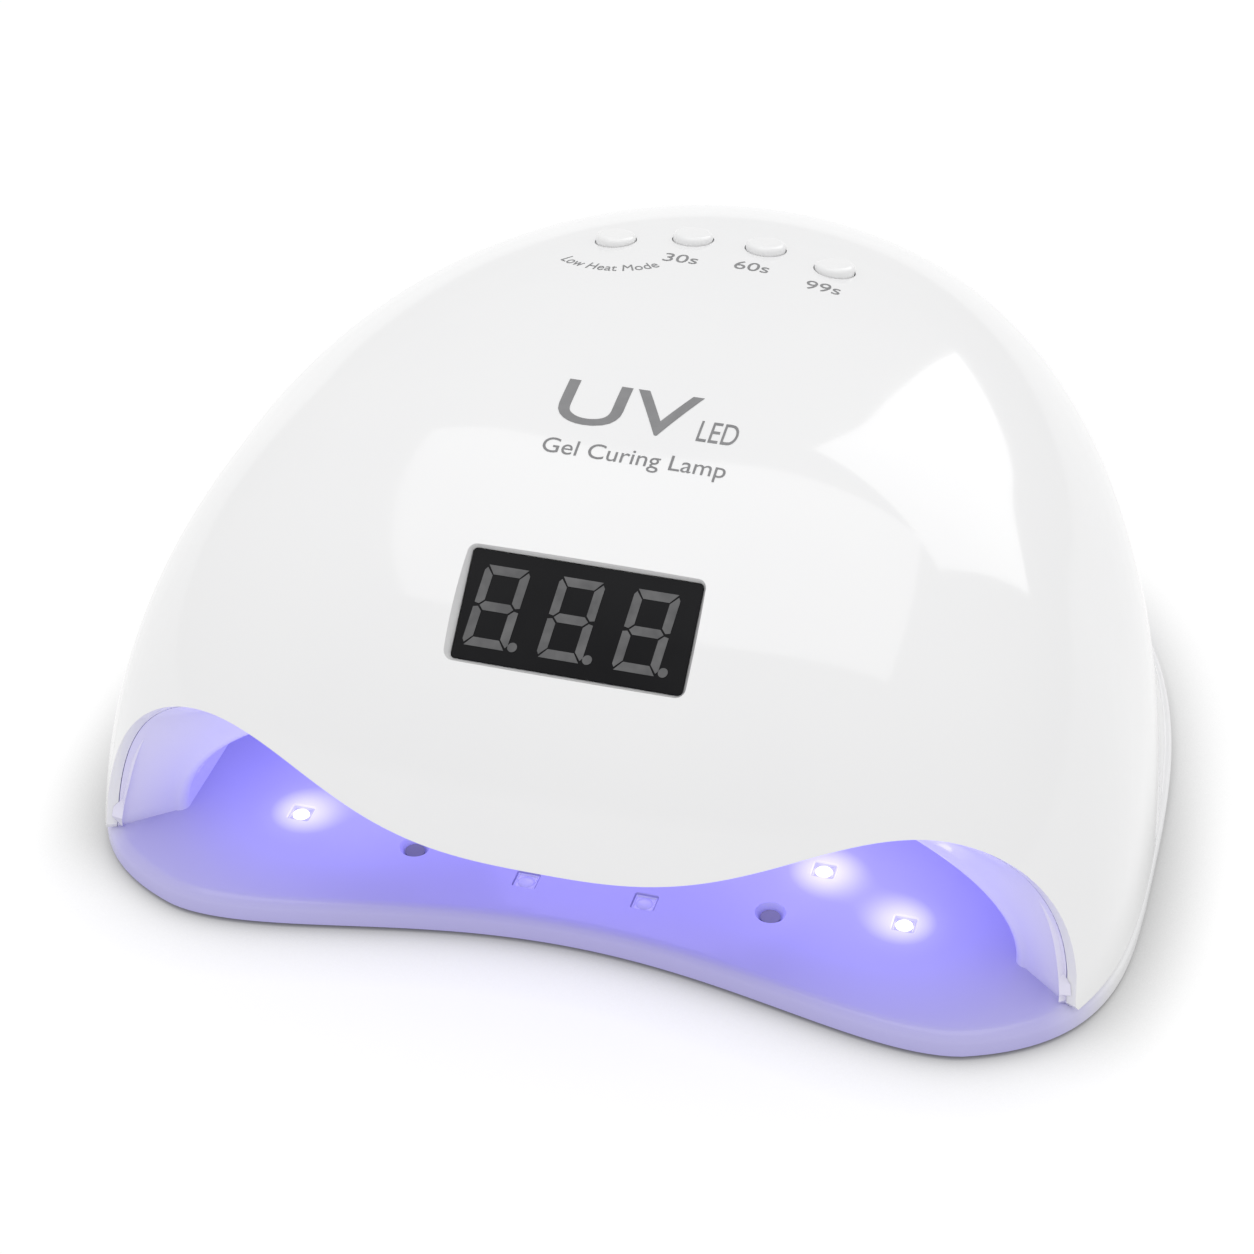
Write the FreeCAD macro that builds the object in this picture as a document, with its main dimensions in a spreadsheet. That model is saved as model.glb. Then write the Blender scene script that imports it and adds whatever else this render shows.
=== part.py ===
"""Desktop UV curing lamp: domed housing over a hand chamber, timer display, four keys.

Millimetres. +X is the lamp's right, +Y its back, +Z up. The origin is on the table, under the
middle of the lamp's length and width. The front of the lamp, with the hand opening, faces -Y.
"""
import FreeCAD, Part
import math
import os

import Sketcher
from FreeCAD import Placement, Rotation, Vector

os.makedirs("parts", exist_ok=True)
doc = FreeCAD.newDocument("curing_lamp")

# ---------------------------------------------------------------- driving sizes
SIZES = [
    # base plate: plan outline
    ("half_width", 118.0),        # widest half width of the base
    ("plan_y", -28.3),            # where along the length the base is widest
    ("front_reach", 80.0),        # from plan_y forward, before the notch is taken out
    ("back_reach", 138.0),        # from plan_y back
    ("front_power", 4.0),         # squareness of the front half of the outline
    ("back_power", 2.5),          # squareness of the back half
    ("notch_depth", 17.3),        # hollow between the two hand rests at the front
    ("notch_half", 88.0),         # half width of that hollow
    ("foot_gap", 0.8),            # underside of the base above the table
    ("base_height", 6.0),         # underside of the base to the chamber floor
    ("base_round", 2.6),          # rounded top edge of the base
    ("rim_wall", 3.2),
    ("floor_skin", 2.6),
    ("cover_thick", 1.6),
    # dome
    ("dome_half_width", 117.2),
    ("dome_front", 80.0),
    ("dome_back", 148.0),
    ("dome_low_y", -40.6),        # centre of the dome's plan at the floor
    ("dome_top_y", -20.8),        # centre of the dome's plan at its crown
    ("dome_height", 99.0),        # crown above the chamber floor
    ("wall", 2.4),
    ("skirt_inset", 1.95),        # foot of the rear skirt inside the base outline
    ("skirt_lean", 0.47),         # how far the skirt leans in for each unit of height
    ("skirt_tall", 38.0),
    # hand opening
    ("roof_room", 56.0),          # crown of the dome above the chamber's ceiling
    ("arch_height", "=dome_height - roof_room"),  # chamber's ceiling above the floor
    ("lip_hang", 8.3),            # lip under the ceiling's level at the middle
    ("lip_over", 4.2),            # lip over the ceiling's level above each hand rest
    ("lip_centre", "=arch_height - lip_hang"),
    ("lip_peak", "=arch_height + lip_over"),
    ("lip_peak_share", 0.615),    # where the peaks are, as a share of dome_half_width
    ("lip_foot_share", 0.926),    # where the lip comes down to the floor
    ("seam_gap", 0.25),           # between housing and liner
    # hand chamber
    ("arch_half", 94.0),
    ("chamber_front", -77.3),
    ("chamber_back", 58.7),
    ("liner_wall", 2.0),
    ("bezel_depth", 3.0),
    ("block_over", 8.5),          # top of the liner's front block above the ceiling
    ("ceiling_block", "=arch_height + block_over"),
    # display
    ("display_wide", 48.6),
    ("display_tall", 23.2),
    ("display_y", -84.3),
    ("display_tilt", 42.0),
    ("display_recess", 1.6),
    ("display_thick", 7.0),
    ("display_gap", 0.2),
    ("digit_pitch", 15.8),
    ("digit_tall", 17.2),
    ("digit_wide", 9.6),
    ("segment_wide", 1.9),
    ("digit_slant", 6.0),
    # keys
    ("key_radius", 4.6),
    ("key_gap", 0.25),
    ("key_rise", 1.7),
    ("key_travel", 0.5),
    ("key_pitch", 17.2),
    ("key_y", 41.6),
    ("key_bow", 4.6),             # the outer keys sit this much nearer the front
    ("key_tilt", 11.0),
    ("switch_side", 6.0),
    ("switch_tall", 3.5),
    ("plunger_radius", 1.75),
    ("plunger_fit", 0.05),
    ("plunger_proud", 1.0),
    ("plunger_deep", 2.0),
    ("stem_radius", 1.6),
    # light sources
    ("bead_side", 5.0),
    ("bead_lens", 1.9),
    ("bead_gap", 0.3),
    ("board_thick", 1.2),
    # fixings
    ("boss_radius", 4.5),
    ("boss_tall", 15.0),
    ("screw_radius", 1.4),
    ("screw_head", 2.8),
    ("foot_radius", 6.0),
    # power inlet
    ("jack_radius", 4.0),
    ("jack_z", 17.0),
    ("jack_length", 13.0),
    ("plug_bore", 2.75),
    ("plug_depth", 9.5),
    ("sensor_radius", 2.2),
]
sheet = doc.addObject("Spreadsheet::Sheet", "sizes")
for row, (alias, value) in enumerate(SIZES, start=1):
    sheet.set(f"A{row}", alias)
    sheet.set(f"B{row}", str(value))
    sheet.setAlias(f"B{row}", alias)
    doc.recompute()


def size(alias):
    """A driving size from the sheet."""
    return float(sheet.get(alias))


FLOOR = size("foot_gap") + size("base_height")
nodes = []


def keep(obj, label):
    """Registers a sub-part under its own name."""
    obj.Label = label
    nodes.append(obj)
    return obj


def feature(label, shape, placement=None):
    """A sub-part whose shape is made with Part's own functions."""
    obj = doc.addObject("Part::Feature", label)
    obj.Shape = shape
    if placement is not None:
        obj.Placement = placement
    return keep(obj, label)


# ---------------------------------------------------------------- free-form outlines
def power_radius(angle, half_x, half_y, power):
    """Polar radius of a superellipse."""
    across = abs(math.cos(angle)) / half_x
    along = abs(math.sin(angle)) / half_y
    return (across**power + along**power) ** (-1 / power)


def closed_curve(points):
    """A smooth closed curve through points, as an edge. Equal parameter steps."""
    curve = Part.BSplineCurve()
    steps = [i / len(points) for i in range(len(points) + 1)]
    curve.interpolate(Points=points, PeriodicFlag=True, Parameters=steps)
    return curve.toShape()


def open_curve(points):
    curve = Part.BSplineCurve()
    curve.interpolate(Points=points)
    return curve.toShape()


def base_outline(inset, z, notched=True, count=72):
    """Points of the base's plan outline at height z, inset from its edge."""
    points = []
    for i in range(count):
        angle = math.pi / 2 + 2 * math.pi * i / count
        ahead = math.sin(angle) < 0
        reach = size("front_reach") if ahead else size("back_reach")
        power = size("front_power") if ahead else size("back_power")
        radius = power_radius(angle, size("half_width") - inset, reach - inset, power)
        x = radius * math.cos(angle)
        y = size("plan_y") + radius * math.sin(angle)
        share = x / size("notch_half")
        if ahead and notched and abs(share) < 1:
            y += size("notch_depth") * (1 - share**2) ** 1.5
        points.append(Vector(x, y, z))
    return points


def prism(points, height):
    """Upright solid on a closed smooth outline."""
    face = Part.Face(Part.Wire([closed_curve(points)]))
    return face.extrude(Vector(0, 0, height))


def skirt_radius(angle, centre_y, inset):
    """Distance from (0, centre_y) to the base outline's edge, without its notch."""
    low, high = 0.0, 3 * size("half_width")
    for _ in range(40):
        middle = (low + high) / 2
        x = abs(middle * math.cos(angle))
        y = centre_y + middle * math.sin(angle) - size("plan_y")
        reach = size("front_reach") if y < 0 else size("back_reach")
        power = size("front_power") if y < 0 else size("back_power")
        inside = (x / (size("half_width") - inset)) ** power + (abs(y) / (reach - inset)) ** power < 1
        low, high = (middle, high) if inside else (low, middle)
    return low


SIDE = (1.69, 3.52)     # profile powers of the dome at its sides: height, reach
FRONT = (3.18, 2.05)
BACK = (3.15, 2.73)
PLAN = (2.66, 1.95)     # plan powers, front and back
SKIRT_BLEND = 1.2       # softness of the crease where the skirt leaves the dome
SKIRT_CLOSE = 14.0      # how far the skirt has closed in at its full height


def dome_centre(level):
    """Where the dome's plan is centred at a level from 0, the floor, to 1, the crown."""
    return size("dome_low_y") + (size("dome_top_y") - size("dome_low_y")) * level


def dome_radius(angle, level, inset):
    """Polar radius of the dome's plan at a level, the skirt included."""
    c, s = math.cos(angle), math.sin(angle)
    back = (1 + s * (3 - s * s) / 2) / 2
    front = 1 - back
    plan = PLAN[0] * front + PLAN[1] * back
    reach = size("dome_front") * front + size("dome_back") * back
    rise = SIDE[0] * c * c + s * s * (FRONT[0] * front + BACK[0] * back)
    full = SIDE[1] * c * c + s * s * (FRONT[1] * front + BACK[1] * back)
    half, reach = size("dome_half_width") - inset, reach - inset
    around = power_radius(angle, half, reach, plan) * (1 - level**rise) ** (1 / full)
    at_side, at_front, at_back = [(1 - level ** p[0]) ** (1 / p[1]) for p in (SIDE, FRONT, BACK)]
    ahead = power_radius(angle, half * at_side, reach * (at_front * front + at_back * back), plan)
    share = min(2 * back, 1.0)
    share = share * share * (3 - 2 * share)
    radius = around * share + ahead * (1 - share)
    height = level * (size("dome_height") - inset)
    lean = size("skirt_inset") + inset + height * size("skirt_lean")
    lean += SKIRT_CLOSE * (height / size("skirt_tall")) ** 4
    skirt = 0.0
    if lean < size("half_width") / 2:
        skirt = skirt_radius(angle, dome_centre(level), lean)
    most = max(radius, skirt)
    total = math.exp((radius - most) / SKIRT_BLEND) + math.exp((skirt - most) / SKIRT_BLEND)
    return most + SKIRT_BLEND * math.log(total)


def dome_section(level, inset, count=72):
    """Points round the dome at a level, from its back."""
    points = []
    for i in range(count):
        angle = math.pi / 2 + 2 * math.pi * i / count
        radius = dome_radius(angle, level, inset)
        z = FLOOR + level * (size("dome_height") - inset)
        points.append(Vector(radius * math.cos(angle), dome_centre(level) + radius * math.sin(angle), z))
    return points


LEVELS = [0.0, 0.03, 0.07, 0.12, 0.18, 0.25, 0.33, 0.42, 0.51, 0.60, 0.68, 0.75, 0.81, 0.86,
          0.90, 0.935, 0.96, 0.978, 0.989, 0.9955, 0.9987, 0.9998]


def dome(inset):
    """Closed solid under the dome's outer surface, inset evenly."""
    wires = [Part.Wire([closed_curve(dome_section(level, inset))]) for level in LEVELS]
    return Part.makeLoft(wires, True, False)


def dome_height_at(x, y, inset=0.0):
    """Height of the dome's surface over a plan point."""
    low, high = 0.0, 1.0
    for _ in range(30):
        level = (low + high) / 2
        ahead = y - dome_centre(level)
        inside = math.hypot(x, ahead) < dome_radius(math.atan2(ahead, x), level, inset)
        low, high = (level, high) if inside else (low, level)
    return FLOOR + low * (size("dome_height") - inset)


def lip_height(x):
    """Height of the hand opening's lip above the floor, at a distance from the middle."""
    x = abs(x)
    peak = size("lip_peak_share") * size("dome_half_width")
    foot = size("lip_foot_share") * size("dome_half_width")
    if x <= peak:
        share = (1 - math.cos(math.pi * (x / peak) ** 1.5)) / 2
        return size("lip_centre") + (size("lip_peak") - size("lip_centre")) * share
    share = min((x - peak) / (foot - peak), 1.0)
    return size("lip_peak") * math.sqrt(1 - share**2)


def mouth(inset, front, back):
    """Solid that fills the hand opening from front to back, inset evenly inside the lip."""
    foot = size("lip_foot_share") * size("dome_half_width")
    peak = size("lip_peak_share") * size("dome_half_width")
    near = [peak * i / 7 for i in range(8)]
    far = [peak + (foot - peak) * math.sin(math.radians(a)) for a in (20, 38, 54, 68, 80, 90)]
    half = [(x, lip_height(x)) for x in near + far]
    scale = (foot - inset) / foot
    right = [Vector(x * scale, front, FLOOR + h - inset) for x, h in half]
    left = [Vector(-v.x, v.y, v.z) for v in reversed(right[1:])]
    ends = (Vector(right[-1].x, front, FLOOR - 1), Vector(left[0].x, front, FLOOR - 1))
    sides = [
        Part.LineSegment(right[-1], ends[0]).toShape(),
        Part.LineSegment(ends[0], ends[1]).toShape(),
        Part.LineSegment(ends[1], left[0]).toShape(),
    ]
    face = Part.Face(Part.Wire([open_curve(left + right)] + sides))
    return face.extrude(Vector(0, back - front, 0))


def arch(grow, front, back):
    """Solid half ellipse over the floor: the hand chamber's section."""
    centre = Vector(0, front, FLOOR)
    ring = Part.Ellipse(
        centre + Vector(size("arch_half") + grow, 0, 0),
        centre + Vector(0, 0, size("arch_height") + grow),
        centre,
    )
    top = Part.Arc(ring, 0, math.pi).toShape()
    ends = [v.Point for v in top.Vertexes]
    face = Part.Face(Part.Wire([top, Part.LineSegment(ends[-1], ends[0]).toShape()]))
    return face.extrude(Vector(0, back - front, 0))


def block(low, high):
    """Box between two corners."""
    return Part.makeBox(high[0] - low[0], high[1] - low[1], high[2] - low[2], Vector(*low))


BEYOND = 400.0          # reach of a cutting block past the lamp

# ---------------------------------------------------------------- shared places
BOSS_ANGLES = (0.0, 60.0, 120.0, 180.0)


def boss_spots():
    """Centres of the four screw bosses in plan, against the inside of the housing."""
    spots = []
    for degrees in BOSS_ANGLES:
        angle = math.radians(degrees)
        level = size("boss_tall") / size("dome_height")
        radius = dome_radius(angle, level, size("wall")) - size("boss_radius") + 0.8
        spots.append((radius * math.cos(angle), dome_centre(level) + radius * math.sin(angle)))
    return spots


KEY_NAMES = ("low_heat", "30s", "60s", "99s")
KEY_TURN = Rotation(Vector(1, 0, 0), -size("key_tilt"))
KEY_AXIS = KEY_TURN.multVec(Vector(0, 0, 1))


def key_spots():
    """Where each key's axis meets the dome's surface, from left to right."""
    spots = []
    for i in range(4):
        x = (i - 1.5) * size("key_pitch")
        outer = i in (0, 3)
        y = size("key_y") - (size("key_bow") if outer else 0.0)
        spots.append(Vector(x, y, dome_height_at(x, y)))
    return spots


CAP_UNDER = 2.4         # cap below the housing's inside
KEY_BOARD_DROP = 14.0   # key board's top below the dome, at the lower keys


def key_board_origin():
    """Middle of the key board's top face."""
    inner = key_spots()[1]
    return Vector(0, inner.y, inner.z) - KEY_AXIS * KEY_BOARD_DROP


def above_key_board(point):
    """Height of a point over the key board's top face."""
    return (point - key_board_origin()).dot(KEY_AXIS)


DISPLAY_TURN = Rotation(Vector(1, 0, 0), size("display_tilt"))
DISPLAY_AXIS = DISPLAY_TURN.multVec(Vector(0, 0, 1))


def display_origin():
    """Middle of the display's face: set below the dome by the recess, at the window's lower corners."""
    half_wide = size("display_wide") / 2
    up = DISPLAY_TURN.multVec(Vector(0, size("display_tall") / 2, 0))
    y = size("display_y")
    corner = Vector(half_wide, y - up.y, dome_height_at(half_wide, y - up.y))
    corner_top = Vector(half_wide, y + up.y, dome_height_at(half_wide, y + up.y))
    middle = Vector(0, y, dome_height_at(half_wide, y))
    depth = min((p - middle).dot(DISPLAY_AXIS) for p in (corner, corner_top))
    return middle + DISPLAY_AXIS * (depth - size("display_recess"))


def tilted_box(origin, turn, wide, deep, low, high):
    """Box centred on a tilted plane, from low to high along the plane's normal."""
    shape = Part.makeBox(wide, deep, high - low, Vector(-wide / 2, -deep / 2, low))
    shape.Placement = Placement(origin, turn)
    return shape


JACK_Z = size("jack_z")
JACK_PAD = 7.5          # radius of the flat recess round the power inlet
JACK_WALL = 3.0


def jack_face_y():
    """Bottom of the flat recess round the power inlet, just inside the housing's surface."""
    surface = []
    for z in (JACK_Z - JACK_PAD, JACK_Z, JACK_Z + JACK_PAD):
        level = max((z - FLOOR) / size("dome_height"), 0.0)
        surface.append(dome_centre(level) + dome_radius(math.pi / 2, level, 0.0))
    return min(surface) - 1.4


FLOOR_BEADS = [(69.0, -70.3), (48.5, -57.7), (13.4, -78.7)]
SENSOR_SPOT = (40.5, -74.7)
BOARD_TOP = size("foot_gap") + size("base_height") - size("floor_skin")


def mirrored(spots):
    """The same places on both sides of the middle."""
    return [(sign * x, y) for x, y in spots for sign in (-1, 1)]


def width_share(x):
    """A place across the lamp that keeps its share of the width."""
    return x * size("half_width") / 118.0


def floor_bead_spots():
    return mirrored([(width_share(x), y) for x, y in FLOOR_BEADS])


def sensor_spots():
    return mirrored([(width_share(SENSOR_SPOT[0]), SENSOR_SPOT[1])])


CEILING_BEADS = [(24.0, -48.0), (24.0, -12.0), (24.0, 24.0)]
CEILING_MIDDLE = [(0.0, -30.0), (0.0, 6.0)]
CEILING_BOARD_Z = FLOOR + size("arch_height") + size("liner_wall") + 0.4
SIDE_ANGLE = 38.0
SIDE_BEADS = (-50.0, -20.0, 10.0)


def side_frame(sign):
    """Origin and turn of a side LED board: its plane touches the liner's outside."""
    angle = math.radians(SIDE_ANGLE)
    half = size("arch_half") + size("liner_wall")
    tall = size("arch_height") + size("liner_wall")
    x, z = half * math.cos(angle), tall * math.sin(angle)
    normal = Vector(sign * x / half**2, 0, z / tall**2).normalize()
    turn = Rotation(Vector(0, 0, 1), normal)
    return Vector(sign * x, 0, FLOOR + z) + normal * 0.3, turn, normal


def bead_holes():
    """Cylinders that pass the chamber beads through the liner."""
    radius = size("bead_side") / 2 + size("bead_gap")
    holes = []
    for x, y in mirrored(CEILING_BEADS) + CEILING_MIDDLE:
        holes.append(Part.makeCylinder(radius, 14, Vector(x, y, CEILING_BOARD_Z - 13)))
    for sign in (-1, 1):
        origin, _, normal = side_frame(sign)
        for y in SIDE_BEADS:
            start = Vector(origin.x, y, origin.z) - normal * 6
            holes.append(Part.makeCylinder(radius, 8, start, normal))
    return holes


# ---------------------------------------------------------------- housing
DISPLAY_LIP = 0.2       # the display's seat ends this far above its face
REVEAL_FLARE = 2.2      # how much wider the window's rim is on each side, REVEAL_DEEP further out
REVEAL_DEEP = 6.0


def window_reveal(wide, tall):
    """Solid that cuts the display window's flared rim, with rounded corners."""
    wires = []
    for height, grow in ((0.0, 0.0), (REVEAL_DEEP, REVEAL_FLARE), (3 * REVEAL_DEEP, 3 * REVEAL_FLARE)):
        half_x, half_y, radius = wide / 2 + grow, tall / 2 + grow, 1.2 + grow
        z = DISPLAY_LIP + height
        lines = []
        for i, (sx, sy) in enumerate(((1, 1), (-1, 1), (-1, -1), (1, -1))):
            centre = Vector(sx * (half_x - radius), sy * (half_y - radius), z)
            start = math.pi / 2 * i
            spots = [start, start + math.pi / 4, start + math.pi / 2]
            arc = [centre + Vector(math.cos(a), math.sin(a), 0) * radius for a in spots]
            lines.append(arc)
        edges = []
        for i, arc in enumerate(lines):
            edges.append(Part.Arc(*arc).toShape())
            edges.append(Part.LineSegment(arc[2], lines[(i + 1) % 4][0]).toShape())
        wires.append(Part.Wire(edges))
    reveal = Part.makeLoft(wires, True, True)
    reveal.Placement = Placement(display_origin(), DISPLAY_TURN)
    return reveal


def make_outer_shell():
    """The dome: one moulding with the lip, the display frame, key holes and bosses."""
    outside = dome(0.0)
    shell = outside.cut(dome(size("wall")))
    origin = display_origin()
    frame_wide = size("display_wide") + 7
    frame_tall = size("display_tall") + 7
    frame = tilted_box(origin, DISPLAY_TURN, frame_wide, frame_tall, -3.0, 20.0).common(outside)
    bosses = [
        Part.makeCylinder(size("boss_radius"), size("boss_tall"), Vector(x, y, FLOOR))
        for x, y in boss_spots()
    ]
    backward = Vector(0, 1, 0)
    jack_face = Vector(0, jack_face_y(), JACK_Z)
    pad = Part.makeCylinder(JACK_PAD + 2, JACK_WALL + 1, jack_face - backward * JACK_WALL, backward)
    inner = dome(size("wall") / 2)
    shell = shell.fuse([frame] + [piece.common(inner) for piece in [pad] + bosses])
    gap = size("display_gap")
    window_wide = size("display_wide") + 2 * gap
    window_tall = size("display_tall") + 2 * gap
    seat = tilted_box(origin, DISPLAY_TURN, window_wide, window_tall, -12.0, DISPLAY_LIP)
    reveal = window_reveal(window_wide, window_tall)
    cuts = [mouth(0.0, -BEYOND, -60.0), seat, reveal]
    for spot in key_spots():
        hole = Part.makeCylinder(size("key_radius") + size("key_gap"), 30, spot - KEY_AXIS * 15, KEY_AXIS)
        cuts.append(hole)
    for x, y in boss_spots():
        cuts.append(Part.makeCylinder(size("screw_radius"), size("boss_tall") - 2, Vector(x, y, FLOOR)))
    cuts.append(Part.makeCylinder(JACK_PAD, 20, jack_face, backward))
    cuts.append(Part.makeCylinder(size("jack_radius"), 30, jack_face - backward * 20, backward))
    return shell.cut(cuts)


def make_liner():
    """Inner lining of the hand chamber: front block behind the lip, bezel and tunnel."""
    gap = size("wall") + size("seam_gap")
    body = dome(gap)
    front = size("chamber_front")
    top = FLOOR + size("ceiling_block")
    lowest = FLOOR + 0.02
    front_box = block((-BEYOND, -BEYOND, lowest), (BEYOND, front, top))
    visor = body.common(front_box).cut(mouth(0.0, -BEYOND, front + 1))
    bezel_box = block((-BEYOND, front - size("bezel_depth"), lowest), (BEYOND, front, top))
    bezel = body.common(bezel_box)
    tunnel = body.common(arch(size("liner_wall"), front - 1, size("chamber_back") + size("liner_wall")))
    room = dome(gap + size("liner_wall")).common(arch(0.0, front, size("chamber_back")))
    passage = arch(0.0, -BEYOND, front + 0.5)
    above = block((-BEYOND, -BEYOND, lowest), (BEYOND, BEYOND, FLOOR + 90))
    liner = visor.fuse([bezel, tunnel]).common(above).cut([room, passage] + bead_holes())
    return liner


def make_base_plate():
    """Floor of the hand chamber, with two hand rests in front and a hollow underside."""
    low = size("foot_gap")
    plate = prism(base_outline(0.0, low), size("base_height"))
    rims = [e for e in plate.Edges if e.BoundBox.ZMin > FLOOR - 0.01]
    plate = plate.makeFillet(size("base_round"), rims)
    hollow = prism(base_outline(size("rim_wall"), low - 1), BOARD_TOP - low + 1)
    posts = []
    for x, y in boss_spots():
        posts.append(Part.makeCylinder(size("boss_radius") + 1, 20, Vector(x, y, low + size("cover_thick"))))
    plate = plate.cut(hollow.cut(posts))
    cuts = []
    side = size("bead_side") + 2 * size("bead_gap")
    for x, y in floor_bead_spots():
        cuts.append(Part.makeBox(side, side, 10, Vector(x - side / 2, y - side / 2, BOARD_TOP - 1)))
    for x, y in sensor_spots():
        cuts.append(Part.makeCylinder(size("sensor_radius") + 0.1, 10, Vector(x, y, BOARD_TOP - 1)))
        cuts.append(Part.makeCone(size("sensor_radius"), size("sensor_radius") + 0.9, 0.9, Vector(x, y, FLOOR - 0.9)))
    for x, y in boss_spots():
        cuts.append(Part.makeCylinder(size("screw_radius") + 0.2, 20, Vector(x, y, 0)))
    cuts.append(Part.makeCylinder(3.0, 20, Vector(0, size("chamber_back") + 12, 0)))
    return plate.cut(cuts)


HEAD_SEAT = size("foot_gap") + 0.9


def make_bottom_cover():
    """Flat cover that closes the base from below, with counterbores and vent slots."""
    low = size("foot_gap")
    cover = prism(base_outline(size("rim_wall") + 0.15, low), size("cover_thick"))
    cuts = []
    for x, y in boss_spots():
        cuts.append(Part.makeCylinder(size("screw_radius") + 0.2, 10, Vector(x, y, 0)))
        cuts.append(Part.makeCylinder(size("screw_head") + 0.2, HEAD_SEAT, Vector(x, y, 0)))
    for side in (-1, 1):
        for i in range(6):
            slot = Part.makeBox(34, 2.2, 10, Vector(side * 36 - 17, 4 + 7 * i, 0))
            cuts.append(slot)
    return cover.cut(cuts)


feature("outer_shell", make_outer_shell())
feature("chamber_liner", make_liner())
feature("base_plate", make_base_plate())
feature("bottom_cover", make_bottom_cover())


# ---------------------------------------------------------------- sketch helpers
def new_sketch(body, name, plane="XY"):
    """A sketch on one of the body's own origin planes."""
    sketch = body.newObject("Sketcher::SketchObject", name)
    base = next(f for f in body.Origin.OriginFeatures if f.Role == plane + "_Plane")
    sketch.AttachmentSupport = [(base, "")]
    sketch.MapMode = "FlatFace"
    return sketch


def draw_outline(sketch, corners):
    """Closed straight-sided outline. Each corner is a pair of expressions for its place."""
    spots = [Vector(sketch.evalExpression(x), sketch.evalExpression(y), 0) for x, y in corners]
    count = len(spots)
    first = sketch.GeometryCount
    for i in range(count):
        sketch.addGeometry(Part.LineSegment(spots[i], spots[(i + 1) % count]))
    for i in range(count):
        sketch.addConstraint(Sketcher.Constraint("Coincident", first + i, 2, first + (i + 1) % count, 1))
    for i, (x, y) in enumerate(corners):
        pin(sketch, first + i, 1, "DistanceX", spots[i].x, x, -2)
        pin(sketch, first + i, 1, "DistanceY", spots[i].y, y, -1)


def pin(sketch, curve, point, kind, value, expression, axis):
    """Holds a point at an expression's distance from the origin, or on the axis when that is 0."""
    if abs(value) < 1e-9:
        sketch.addConstraint(Sketcher.Constraint("PointOnObject", curve, point, axis))
        return
    index = sketch.addConstraint(Sketcher.Constraint(kind, -1, 1, curve, point, value))
    sketch.setExpression(f"Constraints[{index}]", expression)


def draw_circle(sketch, radius, x="0", y="0"):
    """Circle with its radius and centre as expressions."""
    centre = Vector(sketch.evalExpression(x), sketch.evalExpression(y), 0)
    index = sketch.addGeometry(Part.Circle(centre, Vector(0, 0, 1), sketch.evalExpression(radius)))
    pin(sketch, index, 3, "DistanceX", centre.x, x, -2)
    pin(sketch, index, 3, "DistanceY", centre.y, y, -1)
    number = sketch.addConstraint(Sketcher.Constraint("Radius", index, sketch.evalExpression(radius)))
    sketch.setExpression(f"Constraints[{number}]", radius)


def rectangle(wide, deep):
    """Corners of a centred rectangle, as expressions."""
    half_x, half_y = f"({wide}) / 2", f"({deep}) / 2"
    return [
        (f"-{half_x}", f"-{half_y}"), (half_x, f"-{half_y}"),
        (half_x, half_y), (f"-{half_x}", half_y),
    ]


def plate_body(label, wide, deep, thick, place, holes=()):
    """Flat plate: a pad on a rectangle, with round holes given as (x, y, radius)."""
    body = doc.addObject("PartDesign::Body", label)
    outline = new_sketch(body, label + "_outline")
    draw_outline(outline, rectangle(wide, deep))
    for x, y, radius in holes:
        draw_circle(outline, radius, x, y)
    pad = body.newObject("PartDesign::Pad", label + "_pad")
    pad.Profile = outline
    pad.setExpression("Length", thick)
    outline.Visibility = False
    body.Placement = place
    return keep(body, label)


def turned_body(label, corners, place, rounded=None):
    """Turned piece: an outline of (radius, height) expressions revolved about Z."""
    body = doc.addObject("PartDesign::Body", label)
    outline = new_sketch(body, label + "_profile", "XZ")
    draw_outline(outline, corners)
    turn = body.newObject("PartDesign::Revolution", label + "_turn")
    turn.Profile = outline
    turn.ReferenceAxis = (outline, ["V_Axis"])
    turn.Angle = 360
    doc.recompute()
    if rounded is not None:
        height, radius = rounded
        edges = [
            f"Edge{i + 1}" for i, e in enumerate(turn.Shape.Edges)
            if abs(e.BoundBox.ZMin - height) < 1e-4 and abs(e.BoundBox.ZMax - height) < 1e-4
        ]
        soft = body.newObject("PartDesign::Fillet", label + "_round")
        soft.Base = (turn, edges)
        soft.setExpression("Radius", radius)
    body.Placement = place
    return keep(body, label)


# ---------------------------------------------------------------- fixings
def make_screws():
    """Four self-tapping screws, heads under the cover."""
    head_low = size("foot_gap") + 0.05
    screws = []
    for x, y in boss_spots():
        head = Part.makeCylinder(size("screw_head"), HEAD_SEAT - head_low, Vector(x, y, head_low))
        cross = [
            Part.makeBox(3.0, 0.7, 0.5, Vector(x - 1.5, y - 0.35, head_low)),
            Part.makeBox(0.7, 3.0, 0.5, Vector(x - 0.35, y - 1.5, head_low)),
        ]
        shank = Part.makeCylinder(size("screw_radius"), FLOOR + size("boss_tall") - 4 - head_low, Vector(x, y, head_low))
        tip = Part.makeCone(
            size("screw_radius"), 0.3, 1.5, Vector(x, y, FLOOR + size("boss_tall") - 4)
        )
        screws.append(head.fuse([shank, tip]).cut(cross))
    return Part.makeCompound(screws)


feature("housing_screws", make_screws())

FOOT_SPOTS = {
    "foot_front_left": (-0.66, -78.0), "foot_front_right": (0.66, -78.0),
    "foot_back_left": (-0.45, 62.0), "foot_back_right": (0.45, 62.0),
}
for label, (share, y) in FOOT_SPOTS.items():
    x = share * size("half_width")
    turned_body(
        label,
        [("0", "0"), ("sizes.foot_radius", "0"), ("sizes.foot_radius", "sizes.foot_gap"), ("0", "sizes.foot_gap")],
        Placement(Vector(x, y, 0), Rotation()),
        rounded=(0.0, "sizes.foot_gap * 0.5"),
    )

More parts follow.
